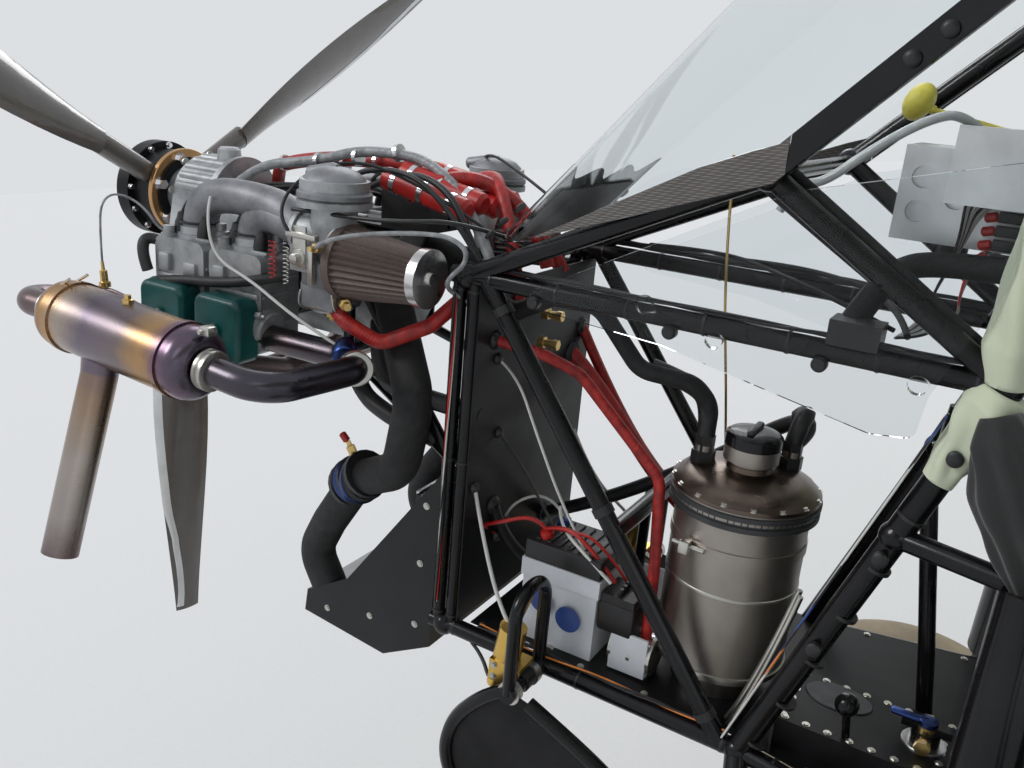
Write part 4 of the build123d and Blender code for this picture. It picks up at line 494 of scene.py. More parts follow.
class Look(Enum):
    """Every finish of the aircraft."""

    TUBE = PowderCoat(
        "black powder coat", (0.003, 0.003, 0.004), 0.26, peel=0.00008, coat=0.35, gloss=0.15, clear=0.08)
    APRON = PowderCoat(
        "glossy dark plate", (0.003, 0.006, 0.012), 0.12, peel=0.00002, coat=0.9, gloss=0.5, clear=0.03)
    SHEET = PowderCoat("satin black sheet", (0.007, 0.007, 0.008), 0.4, peel=0.00012, coat=0.1, gloss=0.15)
    SCOOP = PowderCoat("black gel coat", (0.004, 0.004, 0.005), 0.2, peel=0.00004, coat=0.35, gloss=0.2)
    COVER = PowderCoat("teal green cover", (0.003, 0.062, 0.060), 0.42, peel=0.0002, coat=0.2)
    ALLOY = CastAlloy("grey casting", (0.42, 0.43, 0.44), 0.5)
    DOME = CastAlloy("grey dome casting", (0.27, 0.275, 0.29), 0.5)
    DARK_ALLOY = CastAlloy("dark casting", (0.07, 0.072, 0.075), 0.5)
    SHEET_ALLOY = Metal("sheet aluminium", (0.66, 0.67, 0.68), 0.34, grain=(25.0, 600.0, 25.0))
    SPUN = Metal("spun stainless steel", (0.36, 0.33, 0.30), 0.38, grain=(20.0, 20.0, 700.0), scratch=0.0001)
    LID = Metal("bronzed lid", (0.15, 0.115, 0.095), 0.28, grain=(20.0, 20.0, 500.0), scratch=0.00004)
    COPPER = Metal("copper toned plate", (0.55, 0.32, 0.15), 0.3)
    CHROME = Metal("polished chrome", (0.80, 0.80, 0.82), 0.12, grain=(50.0, 50.0, 50.0), scratch=0.00001)
    CAP = Metal("brushed chrome", (0.74, 0.73, 0.72), 0.27, grain=(60.0, 60.0, 60.0), scratch=0.00002)
    STEEL = Metal("zinc plated steel", (0.55, 0.54, 0.50), 0.32)
    GOLD = Metal("gold anodised alloy", (0.72, 0.47, 0.12), 0.30)
    BRASS = Metal("brass", (0.70, 0.50, 0.20), 0.28)
    BLUE_ALLOY = Metal("blue anodised alloy", (0.04, 0.07, 0.22), 0.30)
    MUFFLER = HeatedSteel(
        "heat tinted muffler", (0.5, 0.45, 0.4), 0.3, start=(437, -517, -41), end=(449, -210, -54),
        bands=gold_to_blue(), branch=(445, -420, -80), outlet=(525, -425, -360))
    PIPE = HeatedSteel(
        "browned exhaust pipe", (0.2, 0.2, 0.25), 0.3, start=(437, -612, -40), end=(447, -95, -62),
        bands=((0.0, (0.16, 0.12, 0.13)), (0.3, (0.20, 0.14, 0.12)), (0.7, (0.10, 0.085, 0.095)),
               (1.0, (0.075, 0.07, 0.085))))
    BLADE = CarbonWeave("lacquered carbon blade", (0.105, 0.090, 0.080), 0.35)
    DASH = CarbonWeave("carbon panel", (0.03, 0.03, 0.032), 0.3, pitch=120.0, turn=0.0)
    HOSE = Rubber("cloth covered hose", (0.010, 0.010, 0.011), 0.75, weave=90.0)
    SMOOTH_HOSE = Rubber("black rubber hose", (0.009, 0.009, 0.010), 0.5, weave=200.0, relief=0.00005)
    SLEEVE = Rubber("red fire sleeve", (0.36, 0.015, 0.012), 0.45, weave=90.0)
    GREY_HOSE = Rubber("braided hose", (0.26, 0.27, 0.28), 0.35, weave=180.0)
    CLEAR_HOSE = Finish("clear hose", (0.50, 0.52, 0.53), 0.15, 0.1)
    SAGE = Cloth("doped fabric", (0.58, 0.64, 0.49), 0.5, sheen=0.1)
    TAPE = Cloth("doped tape", (0.66, 0.70, 0.57), 0.45, sheen=0.1)
    BARE_CLOTH = Cloth("bare fabric", (0.56, 0.60, 0.45), 0.7, thread=150.0)
    BLACK_CLOTH = Cloth("black cover cloth", (0.012, 0.012, 0.013), 0.8, thread=150.0)
    SEAT_CLOTH = Cloth("seat cloth", (0.03, 0.03, 0.033), 0.85, thread=150.0, sheen=0.5)
    CLEAR = Acrylic("clear acrylic", (0.93, 0.955, 0.96), 0.02)
    TAN = Tread("tan tyre", (0.46, 0.37, 0.26), 0.8)
    TYRE = Tread("black tyre", (0.02, 0.02, 0.02), 0.8)
    GAUZE = Gauze("oiled gauze", (0.16, 0.115, 0.10), 0.6)
    BLACK = Finish("black plastic", (0.012, 0.012, 0.013), 0.4)
    WHITE = Finish("white plastic", (0.60, 0.62, 0.66), 0.35, 0.04)
    BLUE = Finish("blue plastic", (0.03, 0.07, 0.26), 0.35)
    RED = Finish("red plastic", (0.45, 0.015, 0.012), 0.35)
    ORANGE = Finish("orange insulation", (0.62, 0.20, 0.03), 0.4)
    PALE_WIRE = Finish("white insulation", (0.62, 0.62, 0.60), 0.4, 0.04)
    YELLOW = Finish("yellow plastic", (0.62, 0.55, 0.08), 0.4)
    DIAL = Finish("instrument glass", (0.006, 0.006, 0.007), 0.06)


@cache
def material(look: Look) -> bpy.types.Material:
    """Material of a look, made once."""
    return look.value.build()


# Making pieces


def piece_name(words: str) -> str:
    """Name of a piece, with underscores for spaces."""
    return words.replace(" ", "_")


def stand(name: str, data: bpy.types.ID) -> Piece:
    """Put a mesh, curve, lamp or camera in the scene.

    Args:
        name: name of the object.
        data: what it shows.

    Returns:
        The object.
    """
    thing = bpy.data.objects.new(name, data)
    bpy.context.collection.objects.link(thing)
    return thing


def plain_mesh(source: Piece, name: str) -> Piece:
    """Turn an object with curves or modifiers into a plain mesh object at the origin.

    Args:
        source: the object, which is removed.
        name: name of the new piece.

    Returns:
        The new mesh object.
    """
    shown = source.evaluated_get(bpy.context.evaluated_depsgraph_get())
    mesh = bpy.data.meshes.new_from_object(shown)
    mesh.transform(source.matrix_world)
    bpy.data.objects.remove(source)
    mesh.name = piece_name(name)
    return stand(piece_name(name), mesh)


def from_bmesh(shape: Mesh, name: str, look: Look, smooth: float = 35.0) -> Piece:
    """Finish a bmesh as a piece with outward faces.

    Args:
        shape: the bmesh, which is freed.
        name: name of the piece.
        look: its finish.
        smooth: angle in degrees below which two faces shade as one.

    Returns:
        The mesh object.
    """
    bmesh.ops.remove_doubles(shape, verts=shape.verts, dist=1e-6)
    bmesh.ops.recalc_face_normals(shape, faces=shape.faces)
    limit = radians(smooth)
    for face in shape.faces:
        face.smooth = True
    for edge in shape.edges:
        edge.smooth = len(edge.link_faces) == 2 and edge.calc_face_angle(0.0) < limit
    mesh = bpy.data.meshes.new(name)
    shape.to_mesh(mesh)
    shape.free()
    mesh.materials.append(material(look))
    return stand(piece_name(name), mesh)


@dataclass
class Route:
    """A wire or hose: control points in millimetres of the level drawing, radius and look."""

    points: Sequence[Point]
    radius: float
    look: Look


def pipes(name: str, routes: Sequence[Route], resolution: int = 2) -> Piece:
    """Make one piece of round wires or hoses on smooth curves.

    Args:
        name: name of the piece.
        routes: its wires or hoses.
        resolution: bevel resolution of their sections.

    Returns:
        The mesh object.
    """
    looks = list(dict.fromkeys(route.look for route in routes))
    data = bpy.data.curves.new(name, "CURVE")
    data.dimensions = "3D"
    data.bevel_depth = 0.001
    data.bevel_resolution = resolution
    data.resolution_u = 8
    data.use_fill_caps = True
    for look in looks:
        data.materials.append(material(look))
    for route in routes:
        spline = data.splines.new("NURBS")
        spline.points.add(len(route.points) - 1)
        for control, point in zip(spline.points, route.points):
            control.co = (*level(point), 1.0)
            control.radius = route.radius
        spline.order_u = 3
        spline.use_endpoint_u = True
        spline.use_smooth = True
        spline.material_index = looks.index(route.look)
    return plain_mesh(stand(name, data), name)


def add_turned(shape: Mesh, start: Point, end: Point, profile: Profile, steps: int = 32) -> Mesh:
    """Add a turned form to a bmesh, closed at both ends.

    Args:
        shape: the bmesh.
        start: point of the axis, in the level drawing.
        end: second point of the axis, which gives its direction.
        profile: distance from start and radius of each ring, in millimetres.
        steps: sides of a ring.

    Returns:
        The bmesh.
    """
    origin = level(start)
    axis = (level(end) - origin).normalized()
    turn = axis.to_track_quat("Z", "Y").to_matrix()
    angles = [2 * pi * step / steps for step in range(steps)]
    add_rows(shape, [[origin + turn @ (Vector((cos(angle) * radius, sin(angle) * radius, distance)) / 1000)
                      for angle in angles] for distance, radius in profile])
    return shape


def add_block(shape: Mesh, low: Point, high: Point, bevel: float = 0.0) -> None:
    """Add a block to a bmesh.

    Args:
        shape: the bmesh.
        low: one corner, in the level drawing.
        high: the opposite corner.
        bevel: width of its bevelled edges in millimetres.
    """
    corners = [
        level((x, y, z)) for x in (low[0], high[0]) for y in (low[1], high[1]) for z in (low[2], high[2])]
    verts = [shape.verts.new(corner) for corner in corners]
    faces = [shape.faces.new([verts[index] for index in side]) for side in (
        (0, 1, 3, 2), (4, 6, 7, 5), (0, 4, 5, 1), (2, 3, 7, 6), (0, 2, 6, 4), (1, 5, 7, 3))]
    if bevel:
        edges = list({edge for face in faces for edge in face.edges})
        bmesh.ops.bevel(shape, geom=edges, offset=bevel / 1000, segments=2, affect="EDGES", profile=0.5)


def add_sleeve(shape: Mesh, foot: Point, head: Point, radii: Sequence[float],
               ripple: float, folds: int, rows: int = 28, steps: int = 48) -> None:
    """Add a cloth sleeve round a tube to a bmesh, gathered in soft folds.

    Args:
        shape: the bmesh.
        foot: lower end of the tube, in the level drawing.
        head: its upper end.
        radii: radii of the sleeve at even steps from foot to head.
        ripple: depth of its folds.
        folds: number of folds round it.
        rows: rings of the mesh.
        steps: sides of a ring.
    """
    origin, end = level(foot), level(head)
    turn = (end - origin).to_track_quat("Z", "Y").to_matrix()
    rings = []
    for row in range(rows + 1):
        share = row / rows
        part = share * (len(radii) - 1)
        index = min(int(part), len(radii) - 2)
        radius = radii[index] + (radii[index + 1] - radii[index]) * (part - index)
        ring = []
        for step in range(steps):
            angle = 2 * pi * step / steps
            wave = sin(folds * angle + 5 * share) + 0.5 * sin(17 * share + 2 * angle)
            out = radius + ripple * wave * min(1.0, 4 * share + 0.2, 4 * (1 - share) + 0.2)
            ring.append(
                origin.lerp(end, share) + turn @ Vector((cos(angle) * out, sin(angle) * out, 0)) / 1000)
        rings.append(ring)
    add_rows(shape, rings)


def add_rows(shape: Mesh, rows: Sequence[Sequence[Vector]]) -> None:
    """Add a closed form through rows of points to a bmesh.

    Args:
        shape: the bmesh.
        rows: points of each section, one loop round it.
    """
    loops = [[shape.verts.new(spot) for spot in row] for row in rows]
    for low, high in zip(loops, loops[1:]):
        for step in range(len(low)):
            after = (step + 1) % len(low)
            shape.faces.new((low[step], low[after], high[after], high[step]))
    shape.faces.new(loops[0])
    shape.faces.new(loops[-1])


def skin(name: str) -> BVHTree:
    """Search tree over the faces of a CAD node."""
    return BVHTree.FromObject(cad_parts[name], bpy.context.evaluated_depsgraph_get())


class Repeater:
    """Geometry Nodes trees that repeat small shapes, with their sizes as inputs."""

    @staticmethod
    def start(name: str, sizes: dict[str, float]) -> tuple[bpy.types.NodeTree, bpy.types.Node]:
        """Start a tree with a geometry, a material and named sizes as inputs.

        Args:
            name: name of the tree.
            sizes: names and defaults of its sizes, in metres.

        Returns:
            The tree and its input node.
        """
        tree = bpy.data.node_groups.new(name, "GeometryNodeTree")
        tree.interface.new_socket(name="Geometry", in_out="INPUT", socket_type="NodeSocketGeometry")
        tree.interface.new_socket(name="Material", in_out="INPUT", socket_type="NodeSocketMaterial")
        for size, value in sizes.items():
            socket = tree.interface.new_socket(name=size, in_out="INPUT", socket_type="NodeSocketFloat")
            socket.default_value = value
        tree.interface.new_socket(name="Geometry", in_out="OUTPUT", socket_type="NodeSocketGeometry")
        return tree, tree.nodes.new("NodeGroupInput")

    @staticmethod
    def finish(tree: bpy.types.NodeTree, source: bpy.types.Node,
               copies: bpy.types.Node) -> bpy.types.NodeTree:
        """End a tree in Realize Instances and Set Material.

        Args:
            tree: the tree.
            source: its input node.
            copies: the node that gives its instances.

        Returns:
            The tree.
        """
        real = add_node(tree, "GeometryNodeRealizeInstances", {"Geometry": (copies, "Instances")})
        paint = add_node(tree, "GeometryNodeSetMaterial", {
            "Geometry": (real, "Geometry"), "Material": (source, "Material")})
        add_node(tree, "NodeGroupOutput", {"Geometry": (paint, "Geometry")})
        return tree

    @staticmethod
    @cache
    def bolts() -> bpy.types.NodeTree:
        """Set a hexagon head on a washer at each point, along its aim.

        Returns:
            The tree, made once.
        """
        tree, source = Repeater.start("hexagon heads", {"Head": 0.005, "Height": 0.004, "Washer": 0.008})
        head = add_node(tree, "GeometryNodeMeshCylinder", {
            "Vertices": 6, "Radius": (source, "Head"), "Depth": (source, "Height")})
        washer = add_node(tree, "GeometryNodeMeshCylinder", {
            "Vertices": 14, "Depth": 0.0012, "Radius": (source, "Washer")})
        half = add_node(tree, "ShaderNodeMath", {0: (source, "Height"), 1: 0.5}, operation="MULTIPLY")
        lift = add_node(tree, "ShaderNodeCombineXYZ", {"Z": (half, "Value")})
        raised = add_node(tree, "GeometryNodeTransform", {
            "Geometry": (head, "Mesh"), "Translation": (lift, "Vector")})
        joined = add_node(tree, "GeometryNodeJoinGeometry", {"Geometry": (raised, "Geometry")})
        feed(tree, joined, "Geometry", (washer, "Mesh"))
        aim = add_node(tree, "GeometryNodeInputNamedAttribute", {"Name": "aim"}, data_type="FLOAT_VECTOR")
        turn = add_node(tree, "FunctionNodeAlignRotationToVector", {"Vector": (aim, "Attribute")}, axis="Z")
        copies = add_node(tree, "GeometryNodeInstanceOnPoints", {
            "Points": (source, "Geometry"), "Instance": (joined, "Geometry"),
            "Rotation": (turn, "Rotation")})
        return Repeater.finish(tree, source, copies)

    @staticmethod
    @cache
    def rings() -> bpy.types.NodeTree:
        """Set a round band at even distances along a curve.

        Returns:
            The tree, made once.
        """
        tree, source = Repeater.start("bands along a line", {
            "Spacing": 0.1, "Radius": 0.014, "Width": 0.004})
        band = add_node(tree, "GeometryNodeMeshCylinder", {
            "Vertices": 20, "Radius": (source, "Radius"), "Depth": (source, "Width")})
        spots = add_node(tree, "GeometryNodeCurveToPoints", {
            "Curve": (source, "Geometry"), "Length": (source, "Spacing")}, mode="LENGTH")
        copies = add_node(tree, "GeometryNodeInstanceOnPoints", {
            "Points": (spots, "Points"), "Rotation": (spots, "Rotation"), "Instance": (band, "Mesh")})
        return Repeater.finish(tree, source, copies)

    @staticmethod
    def apply(source: Piece, tree: bpy.types.NodeTree, look: Look, sizes: dict[str, float],
              name: str) -> Piece:
        """Run a tree on an object.

        Args:
            source: the object, which is removed.
            tree: the tree.
            look: finish of the result.
            sizes: the tree's sizes, in millimetres.
            name: name of the result.

        Returns:
            The result as a plain mesh piece.
        """
        modifier = source.modifiers.new("repeat", "NODES")
        modifier.node_group = tree
        sockets = {item.name: item.identifier for item in tree.interface.items_tree
                   if item.item_type == "SOCKET" and item.in_out == "INPUT"}
        modifier[sockets["Material"]] = material(look)
        for size, value in sizes.items():
            modifier[sockets[size]] = value / 1000
        source.update_tag()
        bpy.context.view_layer.update()
        piece = plain_mesh(source, name)
        if not piece.data.materials:
            piece.data.materials.append(material(look))
        return piece


@dataclass
class Bolt:
    """Where a bolt head sits and which way it points, in the level drawing."""

    place: Point
    aim: Point


def bands(name: str, lines: Sequence[Sequence[Point]], spacing: float, radius: float, width: float,
          look: Look, body: str = "airframe") -> Piece:
    """Set round bands, such as cable ties or clamps, along straight lines.

    Args:
        name: name of the piece.
        lines: ends of each line, in the level drawing.
        spacing: distance between bands, in millimetres as the next two.
        radius: radius of a band.
        width: its width.
        look: its finish.
        body: the body that the bands ride on.

    Returns:
        The piece.
    """
    data = bpy.data.curves.new(name, "CURVE")
    data.dimensions = "3D"
    for line in lines:
        spline = data.splines.new("POLY")
        spline.points.add(len(line) - 1)
        for control, point in zip(spline.points, line):
            control.co = (*level(point), 1.0)
    sizes = {"Spacing": spacing, "Radius": radius, "Width": width}
    piece = Repeater.apply(stand(name, data), Repeater.rings(), look, sizes, name)
    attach(piece, body)
    return piece


def ring_of_bolts(centre: Point, radius: float, count: int, aim: Point, start: float = 0.0) -> list[Bolt]:
    """Bolts on a circle round a fore-and-aft axis.

    Args:
        centre: middle of the ring, in millimetres.
        radius: its radius.
        count: how many bolts.
        aim: direction that the heads look in.
        start: angle of the first bolt, in radians.

    Returns:
        The bolts.
    """
    angles = [2 * pi * step / count + start for step in range(count)]
    return [Bolt((centre[0] + radius * cos(angle), centre[1], centre[2] + radius * sin(angle)), aim)
            for angle in angles]


@dataclass
class SubAssembly:
    """A group of pieces that ride on one body."""

    body: str = "airframe"

    def build(self) -> Iterable[Piece]:
        """Make the pieces."""
        return ()

    def ride(self, piece: Piece) -> Piece:
        """Set a piece on this group's body."""
        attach(piece, self.body)
        return piece

    def piece(self, shape: Mesh, name: str, look: Look, smooth: float = 35.0) -> Piece:
        """Finish a mesh as a piece on this group's body."""
        return self.ride(from_bmesh(shape, name, look, smooth))

    def bolts(self, name: str, bolts: Sequence[Bolt], size: float, height: float = 0.0,
              look: Look = Look.STEEL) -> Piece:
        """Set hexagon heads with washers on this group's body.

        Args:
            name: name of the piece.
            bolts: their places and aims.
            size: radius of a head in millimetres.
            height: height of a head, or nothing for a share of its size.
            look: their finish.

        Returns:
            The piece.
        """
        mesh = bpy.data.meshes.new(name)
        mesh.from_pydata([level(bolt.place) for bolt in bolts], [], [])
        aims = mesh.attributes.new("aim", "FLOAT_VECTOR", "POINT")
        for index, bolt in enumerate(bolts):
            aims.data[index].vector = STANCE.turn(*bolt.aim).normalized()
        sizes = {"Head": size, "Height": height or size * 0.8, "Washer": size * 1.45}
        return self.ride(Repeater.apply(stand(name, mesh), Repeater.bolts(), look, sizes, name))

    def turned(self, name: str, start: Point, end: Point, profile: Profile, look: Look,
               steps: int = 32) -> Piece:
        """Finish one turned form as a piece on this group's body."""
        return self.piece(add_turned(bmesh.new(), start, end, profile, steps), name, look)

    def wires(self, name: str, routes: Sequence[Route], resolution: int = 2) -> Piece:
        """Finish wires or hoses as a piece on this group's body."""
        return self.ride(pipes(name, routes, resolution))


def loom(start: Point, end: Point, aside: Point, spread: float, radius: float,
         looks: Sequence[Look], twist: float = 2.3, steps: int = 9) -> list[Route]:
    """Wires that run together beside a tube, each weaving a little round the others.

    Args:
        start: start of the tube, in the level drawing.
        end: its end.
        aside: shift of the bundle from the tube's centre line.
        spread: radius of the bundle.
        radius: radius of a wire.
        looks: one look for each wire.
        twist: turns of the weave.
        steps: control points of each wire.

    Returns:
        One route for each wire.
    """
    routes = []
    for number, look in enumerate(looks):
        points = []
        for step in range(steps):
            share = step / (steps - 1)
            angle = 2 * pi * (number / len(looks) + twist * share * (0.6 + 0.2 * (number % 3)))
            out = spread * (0.75 + 0.25 * sin(5 * share + number))
            base = between(start, end, share)
            points.append((
                base[0] + aside[0] + out * cos(angle), base[1] + aside[1] + out * sin(angle) * 0.5,
                base[2] + aside[2] + out * sin(angle)))
        routes.append(Route(points, radius, look))
    return routes


@dataclass
class FrameTrim(SubAssembly):
    """Cable ties, looms, clamps and covers on the frame tubes."""

    longeron: float = 12.7
    post: float = 16.0
    tie_width: float = 3.4
    tie_spacing: float = 92.0
    wire: float = 1.5
    wrap: float = 6.0

    def build(self) -> Iterable[Piece]:
        """Make the pieces.

        Returns:
            The pieces.
        """
        yield from self.ties()
        yield from self.looms()
        yield self.covers()
        yield self.buttons()

    def ties(self) -> Iterable[Piece]:
        """Ties round the tubes that carry looms.

        Returns:
            The pieces.
        """
        tops = [[(side * 175, 40, 65), (side * 175, 640, 65)] for side in SIDES]
        yield bands("longeron ties", tops, self.tie_spacing, self.longeron + 1.0, self.tie_width, Look.BLACK)
        posts = [[(183, 490, -455), (176, 655, 40)]]
        yield bands("post ties", posts, 74, self.post + 1.1, self.tie_width + 1, Look.BLACK)
        low = [[(175, 20, -480), (183, 450, -480)], [(192, 520, -480), (285, 980, -480)]]
        yield bands("lower ties", low, 150, self.longeron + 1.0, self.tie_width, Look.BLACK)
        masts = [[(side * 175, y, -460), (side * 175, y, 45)] for side in SIDES for y in (12, -12)]
        yield bands("mast ties", masts, 170, 11.0, self.tie_width, Look.BLACK)
        brace = [[(175.5, 60, 27), (183, 420, -449)]]
        yield bands("brace clamps", brace, 262, self.longeron + 2.0, 12, Look.BLACK)

    def looms(self) -> Iterable[Piece]:
        """Wires along the posts, longerons and braces.

        Returns:
            The pieces.
        """
        colours = (Look.PALE_WIRE, Look.BLUE, Look.ORANGE, Look.BLACK, Look.PALE_WIRE, Look.BLACK)
        routes = loom((184, 470, -470), (176, 640, 20), (6, -21, 4), 4.5, self.wire, colours)
        routes += loom((175, 40, 65), (175, 640, 65), (0, 0, 17), 4.0, self.wire, (Look.BLACK,) * 5)
        routes += loom((-175, 30, 65), (-175, 650, 65), (0, 0, 19), 6.0, 2.2, (Look.BLACK,) * 6)
        routes += loom((175, 60, -480), (183, 450, -480), (0, 0, 17), 4.0, self.wire,
                       (Look.BLACK, Look.ORANGE, Look.BLACK))
        routes += loom((175, -14, -440), (175, -14, 40), (14, 4, 0), 4.0, self.wire, (
            Look.BLACK, Look.RED, Look.BLACK, Look.PALE_WIRE, Look.BLACK), 1.6)
        routes += loom((238, 667, 500), (262, 840, 680), (-20, 4, 0), 4.0, self.wire, (Look.BLACK,) * 3)
        yield self.wires("frame looms", routes, 1)
        wraps = []
        for turn in (2.0, 3.4, 4.8):
            points = []
            for share in (0.0, 0.2, 0.4, 0.6, 0.8, 1.0):
                x, y, z = between((205, 395, 250), (176, 655, 78), share)
                points.append((x - 14 + 10 * cos(turn), y + 10 * sin(turn), z + 12 * sin(turn + share)))
            wraps.append(Route(points, self.wrap, Look.HOSE))
        wraps += [
            Route([(-188, 200, 82), (-170, 330, 96), (-120, 470, 92), (60, 540, 96), (150, 560, 92)], 4,
                   Look.HOSE),
            Route([(-170, 120, 90), (-100, 260, 110), (40, 380, 118), (120, 480, 110), (150, 545, 96)], 3,
                   Look.HOSE)]
        yield self.wires("wrapped looms", wraps)

    def covers(self) -> Piece:
        """Black cloth boot over the strut fitting below the post's head.

        Returns:
            The piece.
        """
        shape = bmesh.new()
        add_sleeve(shape, (221, 736, -136), (196, 668, 40), (15, 22, 30, 36, 39, 36, 33, 20), 3.2, 7, 34, 64)
        return self.piece(shape, "strut boot", Look.BLACK_CLOTH, 80)

    def buttons(self) -> Piece:
        """Round clamps under the longeron and on the post.

        Returns:
            The piece.
        """
        shape = bmesh.new()
        for y in (110, 300, 480):
            add_turned(shape, (176, y, 50), (190, y, 50), [(0, 5), (4, 9), (14, 9), (16, 7)], 16)
            add_block(shape, (172, y - 5, 44), (178, y + 5, 62), 1)
        for share in (0.35, 0.6, 0.85):
            spot = between((184, 470, -480), (175, 667, 65), share)
            add_turned(shape, (spot[0] + 14, spot[1], spot[2]), (spot[0] + 30, spot[1], spot[2]),
                       [(0, 5), (4, 9), (12, 9), (14, 6)], 16)
        return self.piece(shape, "line clamps", Look.BLACK)


@dataclass
class PostWrap(SubAssembly):
    """Pale doped fabric that wraps the door post and meets the cabin's side."""

    ripple: float = 2.4

    def build(self) -> Iterable[Piece]:
        """Make the wrap as two rippled sleeves.

        Returns:
            The pieces.
        """
        shape = bmesh.new()
        add_sleeve(
            shape, (177, 625, -52), (175, 666, 60), (17.5, 20, 22, 26, 31, 33, 24), self.ripple, 5, 40, 72)
        add_sleeve(shape, (176, 668, 70), (205, 667, 270), (24, 31, 28, 25, 23, 18), self.ripple, 5, 40, 72)
        yield self.piece(shape, "post wrap", Look.BARE_CLOTH, 80)


@dataclass
class ScreenTrim(SubAssembly):
    """Edge band, fasteners and scalloped apron of the windscreen."""

    front_half: float = 190.0
    rear_half: float = 278.0
    front_y: float = 21.0
    rear_y: float = 854.0
    slope: float = 606 / 564
    band: float = 42.0

    def half(self, y: float) -> float:
        """Half the screen's width at y."""
        return self.front_half + (
            self.rear_half - self.front_half) * (y - self.front_y) / (self.rear_y - self.front_y)

    def edge(self, y: float) -> float:
        """Find the height of the side's lower edge.

        Args:
            y: station in the level drawing.

        Returns:
            The height there.
        """
        low, mid, high = (91, 128), (407, 242), (854, 680)
        first, second = (low, mid) if y < mid[0] else (mid, high)
        return first[1] + (second[1] - first[1]) * (y - first[0]) / (second[0] - first[0])

    def build(self) -> Iterable[Piece]:
        """Make the pieces.

        Returns:
            The pieces.
        """
        yield from self.edge_band()
        yield self.apron()
        yield self.fasteners()

    def edge_band(self) -> Iterable[Piece]:
        """Stiff band along the lower edge of each side, narrow in front.

        Returns:
            The pieces.
        """
        weave, black = bmesh.new(), bmesh.new()
        for side in SIDES:
            for target, stations in ((weave, (112, 150, 200, 260, 320, 380, 407, 418)),
                                     (black, (419, 450, 500, 600, 700, 840))):
                rows = []
                for y in stations:
                    height = self.band * min(1.0, (y - 90) / 250)
                    x, z = self.half(y), self.edge(y)
                    rows.append([level((side * (x + out), y, z + up)) for out, up in (
                        (0.6, 1), (2.2, 1.4), (2.2, height - 0.6), (0.6, height))])
                add_rows(target, rows)
        yield self.piece(weave, "screen edge bands", Look.BLADE)
        yield self.piece(black, "screen rear bands", Look.SCOOP)

    def apron(self) -> Piece:
        """Glossy dark plate with a scalloped upper edge, laid on the screen's front.

        Returns:
            The piece.
        """
        surface, shape = skin("windscreen"), bmesh.new()
        heights = ((0, 122), (50, 148), (100, 130), (150, 160), (200, 164))
        normal = STANCE.turn(0, -0.732, 0.681)
        rows = []
        for step in range(-62, 63):
            x = step * 3.15
            part = next(number for number in range(len(heights) - 1) if abs(x) <= heights[number + 1][0])
            (low, first), (high, second) = heights[part:part + 2]
            share = (abs(x) - low) / (high - low)
            top = first + (second - first) * share * share * (3 - 2 * share)
            over, under = [], []
            for mark in range(9):
                slope = 5 + (top - 5) * mark / 8
                spot = level((x, self.front_y + slope * 0.681, 112 + slope * 0.732))
                hit, facing = surface.ray_cast(spot + normal * 0.1, -normal)[:2]
                if hit is not None:
                    over.append(hit + facing * 0.0016)
                    under.append(hit + facing * 0.0003)
            if len(over) == 9:
                rows.append(over + under[::-1])
        add_rows(shape, rows)
        return self.piece(shape, "scalloped apron", Look.APRON)

    def fasteners(self) -> Piece:
        """Round black fasteners on the screen's front and side edges.

        Returns:
            The piece.
        """
        shape = bmesh.new()
        knob = [(-5, 3), (0, 3), (0.5, 8), (4, 8.5), (6, 7), (7, 4)]
        for side in SIDES:
            for y in (522, 550, 640, 760):
                x = side * (self.half(y) + 2.2)
                add_turned(shape, (x, y, self.edge(y) + 20), (x + side * 10, y, self.edge(y) + 20), knob, 18)
            for u, v in ((172, 14), (172, 42), (164, 70), (120, 12), (60, 12)):
                y, z = self.front_y + v * 0.68, 112 + v * 0.73
                add_turned(shape, (side * u, y, z), (side * u, y - 7.3, z + 6.8),
                           [(1.5, 3), (2, 8), (5, 8.5), (7, 5)], 18)
        return self.piece(shape, "screen fasteners", Look.BLACK)


